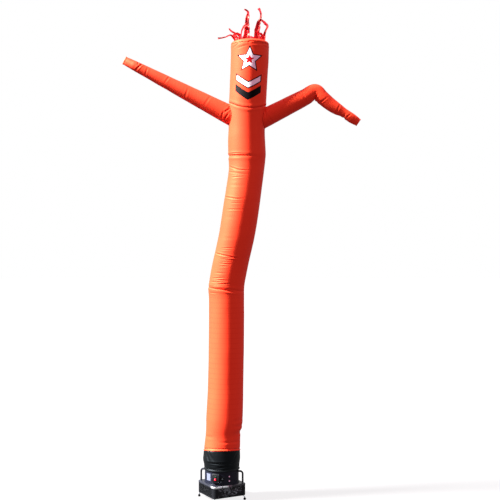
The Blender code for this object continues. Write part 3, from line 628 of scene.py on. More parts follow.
# %% [markdown]
# The head's grid starts on the shoulder seam's curve, so its rows fan out from there to the level seam of the cap.
# Both seams draw the cloth in, and small uneven gathers fade away from each.

# %% Head
HEAD_ROWS = 74
# the same columns as the body's creases
HEAD_CREASES = (
    (5.728, 0.010, 0.010, 0.011, -60, 34),
    (5.700, -0.030, 0.004, 0.010, -40, 22),
    (5.716, 0.110, 0.007, 0.007, -134, 20),
    (5.690, 0.060, 0.004, 0.008, -112, 22),
)


def head_point(share, up):
    angle = SEAM_AT + share * TURN
    foot = shoulder_seam(angle) + 0.0003
    height = foot + (CAP_SEAM - 0.0003 - foot) * up
    above, below = height - foot, CAP_SEAM - height
    push = 0.0022 * ripple(angle, height * 0.2, 8.0, 5.0) * math.exp(-((above / 0.045) ** 2))
    push += 0.0034 * ripple(angle, height * 0.2, 9.0, 6.0) * math.exp(-((below / 0.040) ** 2))
    push += 0.0016 * ripple(angle, height, 1.5, 3.0) + crease_depth(HEAD_CREASES, angle, height)
    push -= seam_lip(above) + seam_lip(below, 0.0015, 0.0015)
    return tube_point(angle, height, push)


head = add_piece(
    "head_cloth",
    cloth_mesh("head_cloth", 128, HEAD_ROWS, head_point, (HEAD_WIDTH, CAP_SEAM - HEAD_FOOT_ROW)),
    printed_nylon,
    "nylon_orange",
)
thicken(head)
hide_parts("head")
print("head:", round(area_of(head.data), 3), "square metres")

# %% [markdown]
# The cap is a flat disc that the air domes. Its rows run from the seam to the middle, where the last one is merged
# into a single point. Short radial puckers at the seam show where the disc was eased onto the tube.

# %% Cap
CAP_RISE, CAP_POWER, CAP_LIP = 0.066, 2.6, 0.006


def cap_height(across, back):
    middle, behind, radius = along_table(SPINE, CAP_SEAM)
    share = min(math.hypot(across - middle, back - behind) / radius, 1.0)
    return CAP_SEAM + CAP_LIP + (CAP_RISE - CAP_LIP) * (1 - share**CAP_POWER) ** (1 / CAP_POWER)


def cap_point(share, up):
    angle = SEAM_AT + share * TURN
    middle, behind, radius = along_table(SPINE, CAP_SEAM)
    reach = math.cos(up * math.pi / 2)
    puckers = 0.0045 * ripple(angle, 0.2, 8.0, 8.0) * math.exp(-(((1 - reach) / 0.16) ** 2))
    across = middle + (radius * reach - puckers * reach) * math.cos(angle)
    back = behind + (radius * reach - puckers * reach) * math.sin(angle)
    height = cap_height(across, back)
    if up < 0.02:
        height = CAP_SEAM + 0.0003
    dents = 0.006 * noise.noise(Vector((across * 14, back * 14, 2.0))) * min(up * 4, 1.0)
    return Vector((across, back, height - abs(dents) if up > 0.02 else height))


cap = add_piece(
    "cap_cloth", cloth_mesh("cap_cloth", 128, 40, cap_point, (1.50, 0.26)), nylon_orange, "nylon_orange"
)
thicken(cap)
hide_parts("cap")
print("cap:", round(area_of(cap.data), 3), "square metres")

# %% [markdown]
# Each arm is a cone with its root sewn to the tube. The grid's columns run along the arm, and each one starts where
# its line leaves the tube, found by stepping along it. That gives the root the true curved outline of a cone
# meeting a tube, as the maker's paper pattern would. The right arm buckles at an elbow and the left tip lies flat.

# %% Arms
# across, height, width, thickness, how far the lower side is pushed in
RIGHT_ARM = (
    (0.244, 4.795, 0.240, 0.240, 0.000),
    (0.420, 4.886, 0.232, 0.232, 0.000),
    (0.630, 4.994, 0.220, 0.220, 0.000),
    (0.830, 5.098, 0.206, 0.206, 0.000),
    (0.947, 5.160, 0.196, 0.172, 0.016),
    (1.034, 5.088, 0.180, 0.186, 0.000),
    (1.134, 5.004, 0.166, 0.168, 0.000),
    (1.235, 4.935, 0.147, 0.150, 0.000),
    (1.306, 4.890, 0.126, 0.130, 0.008),
    (1.405, 4.827, 0.124, 0.120, 0.000),
    (1.463, 4.790, 0.111, 0.092, 0.000),
    (1.498, 4.767, 0.098, 0.070, 0.000),
)
LEFT_ROOT, LEFT_RISE, LEFT_LENGTH = (-0.146, 4.868), math.radians(27.4), 1.500
# distance from the root, width, thickness
LEFT_SIZES = (
    (-0.080, 0.252, 0.252),
    (0.300, 0.219, 0.219),
    (0.700, 0.183, 0.183),
    (1.100, 0.146, 0.146),
    (1.350, 0.124, 0.122),
    (1.410, 0.116, 0.088),
    (1.462, 0.109, 0.056),
    (1.500, 0.104, 0.034),
)
LEFT_WAY = Vector((-math.cos(LEFT_RISE), math.sin(LEFT_RISE)))
LEFT_ARM = tuple((*(Vector(LEFT_ROOT) + LEFT_WAY * far), width, thick, 0.0) for far, width, thick in LEFT_SIZES)
# the same columns, with the distance from the root in place of the height; facing is 0 upwards and 90 in front
LEFT_ARM_CREASES = (
    (0.028, 0.05, 0.012, 0.008, 28, 34),
    (0.048, 0.06, 0.009, 0.009, 72, 36),
    (0.030, 0.03, 0.009, 0.009, 118, 34),
    (0.078, -0.02, 0.005, 0.009, 130, 50),
    (0.110, 0.02, 0.003, 0.010, 20, 40),
    (0.330, 0.01, 0.002, 0.012, 70, 60),
    (0.610, -0.01, 0.002, 0.012, 100, 50),
    (0.905, 0.01, 0.003, 0.010, 60, 60),
    (1.190, -0.01, 0.003, 0.009, 90, 60),
    (1.300, 0.02, 0.009, 0.010, 80, 75),
    (1.335, -0.02, 0.006, 0.008, 40, 50),
)
RIGHT_ARM_CREASES = (
    (0.040, -0.03, 0.006, 0.010, 60, 50),
    (0.065, 0.02, 0.005, 0.009, 140, 50),
    (0.300, 0.01, 0.002, 0.012, 60, 50),
    (0.560, -0.01, 0.003, 0.011, 100, 60),
    (0.700, 0.01, 0.005, 0.010, 150, 70),
    (0.745, 0.00, 0.008, 0.010, 170, 80),
    (0.790, 0.00, 0.012, 0.012, 175, 85),
    (0.830, 0.01, 0.007, 0.009, 165, 70),
    (0.880, -0.02, 0.004, 0.010, 120, 60),
    (1.090, 0.01, 0.003, 0.010, 80, 60),
    (1.215, 0.01, 0.009, 0.012, 170, 90),
    (1.250, -0.02, 0.005, 0.009, 100, 60),
    (1.370, 0.01, 0.004, 0.009, 70, 60),
)


def path_along(rows, axes):
    """The rows with the distance along them in front, so that they can be looked up by it."""
    found, far = [], 0.0
    for before, row in zip((rows[0], *rows), rows):
        far += math.dist(row[:axes], before[:axes])
        found.append((far, *row))
    return tuple(found)


def arm_surface(path, creases, root_at, angle, far):
    """A point of the arm: angle 0 is its upper side and 90 degrees its front."""
    across, height, width, thickness, pinch = along_table(path, far)
    before, after = along_table(path, max(far - 0.03, 0)), along_table(path, min(far + 0.03, path[-1][0]))
    along = Vector((after[0] - before[0], 0, after[1] - before[1])).normalized()
    up = Vector((-along.z, 0, along.x))
    if up.z < 0:
        up = -up
    push = crease_depth(creases, angle, far - root_at) + 0.0016 * ripple(angle, far, 1.2, 7.0)
    upward = math.cos(angle) * (width / 2 - push)
    if upward < 0:
        upward += pinch * math.cos(angle) ** 2
    front = Vector((0, -1, 0)) * math.sin(angle) * (thickness / 2 - push)
    return Vector((across, 0, height)) + up * upward + front


def outside_tube(point):
    across, back, radius = along_table(SPINE, point.z)
    return math.hypot(point.x - across, point.y - back) - radius


def root_distance(path, angle):
    """How far along an arm its surface leaves the tube, at one angle round it."""
    low, high = 0.0, 0.5
    for _ in range(24):
        middle = (low + high) / 2
        if outside_tube(arm_surface(path, (), 0.0, angle, middle)) > 0.002:
            high = middle
        else:
            low = middle
    return high


ARM_ROWS, ARM_COLUMNS = 190, 72


def build_arm(name, rows, creases, node):
    path = path_along(rows, 2)
    long = path[-1][0]
    starts = [root_distance(path, -math.pi + TURN * i / ARM_COLUMNS) for i in range(ARM_COLUMNS + 1)]
    nearest = sum(starts) / len(starts)

    def place(share, up):
        angle = -math.pi + share * TURN
        start = starts[round(share * ARM_COLUMNS)]
        far = start + (long - start) * up
        point = arm_surface(path, creases, nearest, angle, far)
        across, height, *_ = along_table(path, far)
        centre = Vector((across, 0, height))
        from_root, from_end = far - start, long - far
        swell = sew_lip(from_root, 0.008, 0.0035) + sew_lip(from_end, 0.012, 0.0030)
        swell += 0.0048 * ripple(angle, 0.4, 6.0, 11.0) * math.exp(-((from_root / 0.055) ** 2))
        swell += 0.0022 * ripple(angle, 0.7, 4.0, 12.0) * math.exp(-((from_end / 0.06) ** 2))
        swell *= 1 if from_root > 0.004 else 0.4
        return point + (point - centre).normalized() * swell

    size = (math.pi * (rows[0][2] + rows[-1][2]) / 2, long - nearest)
    arm = add_piece(name, cloth_mesh(name, ARM_COLUMNS, ARM_ROWS, place, size), nylon_orange, "nylon_orange")
    if sum(face.normal.y * face.center.y for face in arm.data.polygons) < 0:
        arm.data.flip_normals()
    thicken(arm)
    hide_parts(node)
    print(name, "is", round(long - nearest, 3), "m long,", round(area_of(arm.data), 3), "square metres")
    return arm


arm_left = build_arm("arm_left_cloth", LEFT_ARM, LEFT_ARM_CREASES, "arm_left")
arm_right = build_arm("arm_right_cloth", RIGHT_ARM, RIGHT_ARM_CREASES, "arm_right")

# %% [markdown]
# The hair is loose strips of the same nylon, its colour darkened as painted shade, sewn on the cap by their feet,
# which the escaping air crumples. A strip is a narrow grid along a short table of places. It is folded along its
# middle and crumpled with noise that grows away from its foot, because the sewn end can't move.

# %% Hair
HAIR_CLOTH, HAIR_FOLD = 0.0014, 0.22
# across, back, height, width, turn in degrees
HAIR = {
    "hair_strip_flat_left": (
        (-0.062, 0.000, 5.803, 0.034, 10),
        (-0.092, 0.000, 5.850, 0.028, 20),
        (-0.132, -0.004, 5.878, 0.022, 50),
        (-0.185, -0.008, 5.856, 0.020, 60),
        (-0.240, -0.008, 5.842, 0.018, 40),
        (-0.290, -0.006, 5.836, 0.022, 20),
    ),
    "hair_strip_flick_left": (
        (0.002, -0.060, 5.806, 0.046, 0),
        (-0.020, -0.062, 5.868, 0.040, 20),
        (-0.066, -0.060, 5.886, 0.034, 35),
        (-0.104, -0.056, 5.908, 0.026, 20),
        (-0.130, -0.052, 5.930, 0.020, 10),
        (-0.149, -0.050, 5.953, 0.012, 0),
    ),
    "hair_strip_bundle": (
        (-0.036, -0.034, 5.806, 0.060, 10),
        (-0.052, -0.030, 5.838, 0.050, -10),
        (-0.080, -0.026, 5.866, 0.034, 20),
        (-0.100, -0.024, 5.882, 0.020, 0),
    ),
    "hair_strip_curl": (
        (0.012, -0.012, 5.810, 0.026, 30),
        (0.006, -0.020, 5.880, 0.022, 45),
        (0.022, -0.044, 5.945, 0.024, 30),
        (0.046, -0.058, 5.978, 0.032, 10),
        (0.080, -0.060, 6.000, 0.036, 0),
        (0.100, -0.058, 6.020, 0.018, 0),
    ),
    "hair_strip_tall_left": (
        (0.070, -0.020, 5.810, 0.086, 0),
        (0.076, -0.018, 5.920, 0.074, 8),
        (0.080, -0.016, 6.005, 0.058, -10),
        (0.085, -0.014, 6.090, 0.050, 10),
        (0.092, -0.014, 6.150, 0.042, 30),
        (0.080, -0.016, 6.186, 0.034, 50),
        (0.044, -0.018, 6.203, 0.014, 30),
    ),
    "hair_strip_tall_right": (
        (0.204, 0.004, 5.808, 0.082, 0),
        (0.210, 0.006, 5.930, 0.070, -8),
        (0.228, 0.008, 6.040, 0.056, 5),
        (0.250, 0.010, 6.088, 0.024, 10),
        (0.257, 0.010, 6.130, 0.024, 10),
        (0.250, 0.008, 6.180, 0.026, 10),
        (0.224, 0.004, 6.222, 0.030, 0),
    ),
    "hair_strip_loop_right": (
        (0.293, 0.012, 5.800, 0.040, 10),
        (0.302, 0.014, 5.900, 0.034, -10),
        (0.322, 0.016, 5.945, 0.028, 25),
        (0.338, 0.018, 5.996, 0.032, 10),
        (0.312, 0.024, 6.034, 0.034, 20),
        (0.282, 0.030, 6.062, 0.026, 10),
        (0.258, 0.030, 6.084, 0.018, 0),
    ),
    "hair_strip_front": (
        (0.276, -0.050, 5.803, 0.034, 10),
        (0.274, -0.056, 5.850, 0.030, -10),
        (0.254, -0.062, 5.880, 0.032, 10),
        (0.214, -0.064, 5.868, 0.026, 0),
    ),
}
STRIP_COLUMNS, STRIP_ROWS = 14, 72


def strip_mesh(name, rows, seed):
    path = path_along(rows, 3)
    long = path[-1][0]
    widest = max(row[3] for row in rows)

    def place(share, up):
        across, back, height, width, turn = along_table(path, long * up)
        here = Vector((across, back, height))
        before = along_table(path, max(long * up - 0.012, 0))
        after = along_table(path, min(long * up + 0.012, long))
        along = (Vector(after[:3]) - Vector(before[:3])).normalized()
        side = along.cross(Vector((0, 1, 0))).normalized()
        facing = side.cross(along)
        angle = math.radians(turn)
        cos, sin = math.cos(angle), math.sin(angle)
        side, facing = side * cos + facing * sin, facing * cos - side * sin
        where = share - 0.5
        loose = min(up * 3.0, 1.0)
        fold = (1 - abs(2 * where)) * width * HAIR_FOLD
        wave = noise.noise(Vector((share * 2.4 + seed, up * long * 26, seed))) * width * 0.30
        small = noise.noise(Vector((share * 5.0, up * long * 70 + seed, 3.0))) * 0.0035
        edge = noise.noise(Vector((up * long * 30, seed, math.copysign(4.0, where)))) * width * 0.16
        point = here + side * (where * width + edge * loose * abs(2 * where))
        point += facing * (fold + (wave + small) * loose)
        if up < 0.001:
            point.z = cap_height(point.x, point.y) + 0.0012
        return point

    mesh = cloth_mesh(name, STRIP_COLUMNS, STRIP_ROWS, place, (widest, long), rolled=False)
    return mesh, widest, long


hair = []
for number, (node, rows) in enumerate(HAIR.items()):
    mesh, widest, long = strip_mesh(node + "_cloth", rows, number * 3.7)
    strip = add_piece(node + "_cloth", mesh, hair_nylon_painted_shade, "nylon_orange")
    thicken(strip, HAIR_CLOTH, 0.0)
    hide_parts(node)
    cut_area = area_of(mesh)
    hair.append(strip)
    print(strip.name, "is", round(long * 1000), "mm long")

# %% [markdown]
# A low band of cloth stands behind the tall strips and ties them together. It is one more grid, waved back and forth.

# %% Hair band
BAND_ENDS, BAND_BACK, BAND_RISE = (0.020, 0.262), 0.042, 0.062


def band_point(share, up):
    x = BAND_ENDS[0] + (BAND_ENDS[1] - BAND_ENDS[0]) * share
    y = BAND_BACK + 0.008 * math.sin(share * 2.5 * math.pi) * (0.4 + up)
    foot = cap_height(x, y) + 0.0012
    top = cap_height(along_table(SPINE, CAP_SEAM)[0], BAND_BACK) + BAND_RISE
    height = foot + (top - 0.010 * math.sin(share * 4 * math.pi) - foot) * up
    y += 0.004 * noise.noise(Vector((share * 9, up * 3, 1.0))) * up
    return Vector((x, y, height + 0.006 * up * noise.noise(Vector((share * 14, 0, 5.0)))))


hair_band = add_piece(
    "hair_band_cloth",
    cloth_mesh("hair_band_cloth", 60, 16, band_point, (0.242, 0.060), rolled=False),
    hair_nylon_painted_shade,
    "nylon_orange",
)
thicken(hair_band, HAIR_CLOTH, 0.0)
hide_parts("hair_band")
print("hair band:", round(area_of(hair_band.data) * 1e4), "square centimetres")

# %% [markdown]
# Each large piece of cloth is cut to a flat size, which sets its UV map in metres. A blown-up tube is stretched
# between its seams.

print("declared", 6 + len(hair) + 1, "sheets")

# %% [markdown]
# The blower's hard pieces have their right shapes already. Their meshes are loose triangles, which shade as flats,
# so each gets a copy with its doubled points merged and its curved faces shaded smooth. A narrow bevel on the sharp
# edges catches the light, as a real moulding's or a folded sheet's edge does.

# %% Finishes of the blower


def noisy_roughness(tree, shader, scale, low, high, bump=0.0):
    """Breaks up a surface's gloss with noise, and dents it a little."""
    place = add_node(tree, "TexCoord").outputs["Object"]
    grain = add_node(tree, "TexNoise", place, Scale=scale, Detail=5.0)
    level = add_node(tree, "MapRange", grain.outputs["Fac"], 0.3, 0.7, low, high)
    tree.links.new(level.outputs["Result"], shader.inputs["Roughness"])
    if bump:
        dents = add_node(tree, "Bump", Strength=0.6, Distance=bump, Height=grain.outputs["Fac"])
        tree.links.new(dents.outputs["Normal"], shader.inputs["Normal"])
    return grain.outputs["Fac"]


# powder-coated steel: a fine orange-peel skin, grains about 1.5 mm wide, with a satin shine
powder_coat, tree, shader = new_finish("powder_coated_steel_navy", "#0C0F1C", 0.42, Specular_IOR_Level=0.2)
noisy_roughness(tree, shader, 650.0, 0.40, 0.56, 0.0004)

# the deck's folded edge: dark enamel with a painted highlight, streaks of bright metal right of the front corner
enamel, tree, shader = new_finish("enamel_grey_painted_highlight", "#1E2028", 0.30)
grain = noisy_roughness(tree, shader, 14.0, 0.20, 0.40, 0.0016)
place = add_node(tree, "SeparateXYZ", add_node(tree, "TexCoord").outputs["Object"])
# the mask of the painted highlight: streaks on the rounded edge only, right of the front corner
painted_highlight_mask = add_node(tree, "MapRange", grain, 0.30, 0.52).outputs["Result"]
for axis, start, end in (("X", -0.385, -0.33), ("X", -0.10, -0.17), ("Y", -0.10, -0.16), ("Z", 0.2118, 0.2102)):
    near = add_node(tree, "MapRange", place.outputs[axis], start, end, interpolation_type="SMOOTHSTEP")
    painted_highlight_mask = add_node(tree, "Math", painted_highlight_mask, near.outputs["Result"], operation="MULTIPLY").outputs[0]
shade = add_node(tree, "Mix", Factor=painted_highlight_mask, A=linear("#1E2028"), B=linear("#F0F1F6"), data_type="RGBA")
tree.links.new(shade.outputs["Result"], shader.inputs["Base Color"])
tree.links.new(painted_highlight_mask, shader.inputs["Metallic"])

# glass-filled moulded plastic: matte, with a fine grain about 1 mm wide
moulded_plastic, tree, shader = new_finish("moulded_plastic_black", "#07080C", 0.52, Specular_IOR_Level=0.2)
noisy_roughness(tree, shader, 1000.0, 0.44, 0.62, 0.0003)

# the side screens are coated and dented: glossy, with irregular glints
screen_coat, tree, shader = new_finish("coated_screen_black", "#07080B", 0.30, Specular_IOR_Level=0.3)
noisy_roughness(tree, shader, 34.0, 0.24, 0.50, 0.016)

# the two right-hand screens carry painted glints: smears of bright metal colour, longer than they are high
screen_painted_glints, tree, shader = new_finish("screen_black_painted_glints", "#07080B", 0.35, Specular_IOR_Level=0.4)
noisy_roughness(tree, shader, 34.0, 0.24, 0.50, 0.016)
place = add_node(tree, "Mapping", add_node(tree, "TexCoord").outputs["Object"], Scale=(14.0, 14.0, 34.0))
glint_smear_noise = add_node(tree, "TexNoise", place.outputs[0], Scale=1.0, Detail=4.0, Distortion=1.2)
# painted glints: where this mask is high the screen takes a bright metal colour and shine
painted_glint_mask = add_node(tree, "MapRange", glint_smear_noise.outputs["Fac"], 0.50, 0.61, interpolation_type="SMOOTHSTEP")
painted_glint_mask = painted_glint_mask.outputs["Result"]
shade = add_node(tree, "Mix", Factor=painted_glint_mask, A=linear("#07080B"), B=linear("#A4A7B0"), data_type="RGBA")
tree.links.new(shade.outputs["Result"], shader.inputs["Base Color"])
tree.links.new(painted_glint_mask, shader.inputs["Metallic"])

# plated steel wire: a metal, bright with fine scratches
zinc_plate, tree, shader = new_finish("zinc_plated_steel", "#A9B0BD", 0.28, Metallic=1.0)
noisy_roughness(tree, shader, 220.0, 0.20, 0.40, 0.0002)

# rubber: dull, with an uneven gloss
soft_rubber, tree, shader = new_finish("moulded_rubber_black", "#08080A", 0.75, Specular_IOR_Level=0.2)
noisy_roughness(tree, shader, 300.0, 0.62, 0.85, 0.0004)

# push buttons: glossy coloured plastic with a faint mould grain
button_red, tree, shader = new_finish("push_button_red", "#E5122A", 0.30)
noisy_roughness(tree, shader, 400.0, 0.24, 0.38)
button_green, tree, shader = new_finish("push_button_green", "#06331F", 0.30)
noisy_roughness(tree, shader, 400.0, 0.24, 0.38)

# the blank label is a grey-blue film, faded in patches
label_film, tree, shader = new_finish("label_film_grey", "#5A5F70", 0.45)
grain = noisy_roughness(tree, shader, 40.0, 0.36, 0.55)
faded = add_node(tree, "Mix", Factor=grain, A=linear("#646A7C"), B=linear("#4E5363"), data_type="RGBA")
tree.links.new(faded.outputs["Result"], shader.inputs["Base Color"])

# white nylon plugs, a little soiled
white_plastic, tree, shader = new_finish("white_nylon_plug", "#E6E8EE", 0.42)
grain = noisy_roughness(tree, shader, 60.0, 0.34, 0.50)
soiled = add_node(tree, "Mix", Factor=grain, A=linear("#FFFFFF"), B=linear("#E2E4EA"), data_type="RGBA")
tree.links.new(soiled.outputs["Result"], shader.inputs["Base Color"])
print("finishes:", len(bpy.data.materials))

# %% [markdown]
# One function makes the rounder copy of a hard piece, and a table says which finish and how wide a bevel each gets.

# %% Rounder copies of the hard pieces


def rounded_copy(node, finish, slot, bevel=0.0008, angle=32):
    """A merged, smooth copy of a hard piece that stands for it, with narrow bevels on its sharp edges."""
    bm = bmesh.new()
    bm.from_mesh(frame["nodes"][node].data)
    bmesh.ops.remove_doubles(bm, verts=bm.verts, dist=0.00001)
    bmesh.ops.dissolve_limit(bm, angle_limit=math.radians(1.0), verts=bm.verts, edges=bm.edges)
    mesh = bpy.data.meshes.new(node + "_piece")
    bm.to_mesh(mesh)
    bm.free()
    mesh.shade_smooth()
    mesh.set_sharp_from_angle(angle=math.radians(angle))
    piece = add_piece(node + "_piece", mesh, finish, slot)
    if bevel:
        edges = piece.modifiers.new("Edges", "BEVEL")
        edges.width = bevel
        edges.segments = 2
        edges.limit_method = "ANGLE"
        edges.angle_limit = math.radians(angle + 8)
        edges.harden_normals = True
    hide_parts(node)
    return piece


SIDES = ("back_left", "back_right", "front_left", "front_right")
HARD_PIECES = [
    ("drum", powder_coat, "steel_black", 0.0006),
    ("handle_left", powder_coat, "steel_black", 0.0),
    ("handle_right", powder_coat, "steel_black", 0.0),
    ("base_deck", enamel, "edge_grey", 0.0),
    ("base_tray", moulded_plastic, "plastic_black", 0.001),
    ("switch_box", moulded_plastic, "plastic_black", 0.0008),
    ("cable_inlet", moulded_plastic, "plastic_black", 0.0006),
    ("inlet_clip", zinc_plate, "stem_steel", 0.0),
    ("button_red", button_red, "button_red", 0.0005),
    ("button_green", button_green, "button_green", 0.0005),
    ("plug_upper", white_plastic, "plastic_white", 0.0003),
    ("plug_lower", white_plastic, "plastic_white", 0.0003),
    ("label_plate", label_film, "plastic_white", 0.0),
    *[("panel_" + side, screen_coat, "grille_black", 0.0006) for side in ("back_left", "front_left")],
    *[("panel_" + side, screen_painted_glints, "grille_black", 0.0006) for side in ("back_right", "front_right")],
    *[("post_" + side, moulded_plastic, "plastic_black", 0.0008) for side in SIDES],
    *[("stem_" + side, zinc_plate, "stem_steel", 0.0) for side in SIDES],
    *[("foot_" + side, soft_rubber, "rubber_black", 0.0) for side in SIDES],
]
for node, finish, slot, bevel in HARD_PIECES:
    rounded_copy(node, finish, slot, bevel)
print(len(HARD_PIECES), "hard pieces")

# %% [markdown]
# A screen of wire covers each open side of the base. Real wire mesh has hundreds of crossings, so each side's wires
# are thin rods of a few faces, joined in one mesh. They lie 2 mm in front of the dented inner screen.

# %% Side screens
AXIS = Vector((-0.240, 0.0, 0.0))
BASE_TURN, BASE_HALF, BASE_CORNER = math.radians(29), 0.2346, 0.050
WIRE, WIRE_PITCH, WIRE_LAP = 0.0011, 0.0125, 0.0018  # a wire's radius, spacing, and how far one lies on the other
SCREEN_HEIGHTS = (0.078, 0.182)


def add_rod(bm, start, end, radius, sides=6):
    """Adds a thin closed rod between two points to a mesh."""
    start, end = Vector(start), Vector(end)
    along = end - start
    place = Matrix.Translation((start + end) / 2) @ along.to_track_quat("Z", "Y").to_matrix().to_4x4()
    bmesh.ops.create_cone(
        bm, cap_ends=True, segments=sides, radius1=radius, radius2=radius, depth=along.length, matrix=place
    )


bm = bmesh.new()
half = BASE_HALF - BASE_CORNER - 0.016
face_at = BASE_HALF - 0.0045
for quarter in range(4):
    spin = Matrix.Translation(AXIS) @ Matrix.Rotation(BASE_TURN + quarter * math.pi / 2, 4, "Z")
    uprights = round(2 * half / WIRE_PITCH)
    for i in range(uprights + 1):
        y = -half + 2 * half * i / uprights
        add_rod(bm, *(spin @ Vector((face_at, y, z)) for z in SCREEN_HEIGHTS), WIRE)
    levels = round((SCREEN_HEIGHTS[1] - SCREEN_HEIGHTS[0]) / WIRE_PITCH)
    for i in range(levels + 1):
        z = SCREEN_HEIGHTS[0] + (SCREEN_HEIGHTS[1] - SCREEN_HEIGHTS[0]) * i / levels
        add_rod(bm, *(spin @ Vector((face_at + WIRE_LAP, y, z)) for y in (-half, half)), WIRE)
mesh = bpy.data.meshes.new("screen_wires")
bm.to_mesh(mesh)
bm.free()
screen_wires = add_piece("screen_wires", mesh, screen_coat, "grille_black")
print("screen wires:", len(mesh.polygons), "faces")

# %% [markdown]
# Small fittings make the blower read at its real size: the switch plate's screws, collars round its buttons, dark
# washers round the plugs and the inlet, and the bead where the drum meets the deck. They are placed by angle and
# height on the drum, with one function, so that they sit on its wall.

# %% Fittings
DRUM_RADIUS = 0.216


def on_drum(degrees, height, out):
    """The frame of a place on the drum: its own +Z points away from the axis, and 0 degrees is the front."""
    angle = math.radians(degrees)
    where = AXIS + Vector((out * math.sin(angle), -out * math.cos(angle), height))
    return Matrix.Translation(where) @ Matrix.Rotation(angle, 4, "Z") @ Matrix.Rotation(math.pi / 2, 4, "X")


def ring(bm, place, radius, tube, steps=40, sides=10):
    """Adds a torus to a mesh: a small circle spun round an axis."""
    centre = place.translation
    axis = place.to_3x3() @ Vector((0, 0, 1))
    start = place @ Matrix.Translation((radius, 0, 0)) @ Matrix.Rotation(math.pi / 2, 4, "X")
    made = bmesh.ops.create_circle(bm, segments=sides, radius=tube, matrix=start)
    edges = list({edge for vert in made["verts"] for edge in vert.link_edges})
    geom = made["verts"] + edges
    bmesh.ops.spin(bm, geom=geom, cent=centre, axis=axis, angle=TURN, steps=steps, use_merge=True)


def finish_mesh(bm, name, finish, slot, smooth=40):
    bmesh.ops.remove_doubles(bm, verts=bm.verts, dist=0.00001)
    bmesh.ops.recalc_face_normals(bm, faces=bm.faces)
    mesh = bpy.data.meshes.new(name)
    bm.to_mesh(mesh)
    bm.free()
    mesh.shade_smooth()
    mesh.set_sharp_from_angle(angle=math.radians(smooth))
    return add_piece(name, mesh, finish, slot)


SWITCH_FACE, SWITCH_AT = 0.246, (-17.3, 0.302)
INLET_AT = (4.0, 0.296)
SCREW_OFFSETS = [(x, z) for x in (-0.038, 0.038) for z in (-0.045, 0.045)]
bm = bmesh.new()
for x, z in SCREW_OFFSETS:
    place = on_drum(*SWITCH_AT, SWITCH_FACE) @ Matrix.Translation((x, z, 0.0012))
    head_size = {"radius1": 0.0042, "radius2": 0.0034, "depth": 0.0024}
    bmesh.ops.create_cone(bm, cap_ends=True, segments=20, matrix=place, **head_size)
    slot_place = place @ Matrix.Translation((0, 0, 0.0013)) @ Matrix.Diagonal((0.0060, 0.0010, 0.0006, 1.0))
    bmesh.ops.create_cube(bm, size=1.0, matrix=slot_place)
switch_screws = finish_mesh(bm, "switch_screws", zinc_plate, "stem_steel")

bm = bmesh.new()
for height, radius in ((0.290, 0.0150), (0.322, 0.0110)):
    ring(bm, on_drum(SWITCH_AT[0], height, SWITCH_FACE + 0.0012), radius, 0.0022)
ring(bm, on_drum(*INLET_AT, DRUM_RADIUS + 0.0072), 0.0200, 0.0024)
ring(bm, on_drum(*INLET_AT, DRUM_RADIUS + 0.0250), 0.0065, 0.0020)
for height in (0.318, 0.263):
    ring(bm, on_drum(27.3, height, DRUM_RADIUS + 0.0010), 0.0135, 0.0028, steps=28)
collars = finish_mesh(bm, "button_collars", moulded_plastic, "plastic_black")

bm = bmesh.new()
ring(bm, Matrix.Translation(AXIS + Vector((0, 0, 0.2165))), DRUM_RADIUS + 0.0010, 0.0035, steps=120)
drum_bead = finish_mesh(bm, "drum_bead", powder_coat, "steel_black")

bm = bmesh.new()
ring(bm, on_drum(*INLET_AT, DRUM_RADIUS + 0.0262), 0.0030, 0.0016, steps=20, sides=8)
inlet_pin = finish_mesh(bm, "inlet_pin", zinc_plate, "stem_steel")
print("fittings:", switch_screws.name, collars.name, drum_bead.name, inlet_pin.name)

# %% [markdown]
# Three dark strips cross the deck's bright edge below the switch, the inlet and the plugs. They are short lengths of
# webbing, bent over the edge: a narrow grid follows the deck's rounded outline from its top to its side.

# %% Deck straps
DECK_LOW, DECK_HIGH, DECK_ROUND = 0.186, 0.212, 0.011
webbing, tree, shader = new_finish("nylon_webbing_black", "#0D0E10", 0.7)
place = add_node(tree, "TexCoord").outputs["Object"]
ribs = add_node(tree, "TexWave", place, Scale=160.0, Distortion=0.6, bands_direction="Z")
dents = add_node(tree, "Bump", Strength=0.5, Distance=0.0005, Height=ribs.outputs["Fac"])
tree.links.new(dents.outputs["Normal"], shader.inputs["Normal"])


def deck_edge(degrees):
    """How far the deck's straight side is from the axis, in a direction: the front corner is at the left."""
    direction = Vector((math.sin(math.radians(degrees)), -math.cos(math.radians(degrees)), 0))
    spin = Matrix.Rotation(-BASE_TURN, 3, "Z")
    inside = spin @ direction
    return BASE_HALF / max(abs(inside.x), abs(inside.y))


# degrees round from the front, slant of the strip, width
DECK_STRIPS = ((-8.5, -5.0, 0.014), (3.5, 0.0, 0.012), (27.0, 0.0, 0.012))
webs = []
for number, (degrees, slant, width) in enumerate(DECK_STRIPS):

    def strip_point(share, up, degrees=degrees, slant=slant, width=width):
        profile = (
            (0.00, -0.040, 0.0),
            (0.45, -DECK_ROUND, 0.0),
            (0.62, -DECK_ROUND * 0.3, -DECK_ROUND * 0.3),
            (0.80, 0.0, -DECK_ROUND),
            (1.00, 0.0, -0.022),
        )
        inward, drop = along_table(profile, up)
        turn = degrees + slant * up
        edge = deck_edge(turn) + inward + 0.0010
        angle = math.radians(turn)
        outward = Vector((math.sin(angle), -math.cos(angle), 0))
        side = Vector((math.cos(angle), math.sin(angle), 0))
        return AXIS + outward * edge + side * (share - 0.5) * width + Vector((0, 0, DECK_HIGH + drop + 0.0008))

    web = add_piece(
        f"deck_strap_{number + 1}",
        cloth_mesh(f"deck_strap_{number + 1}", 6, 30, strip_point, (width, 0.08), rolled=False),
        webbing,
        "plastic_black",
    )
    thicken(web, 0.0014, 1.0)
    webs.append(web)
print(len(webs), "straps over the deck's edge")
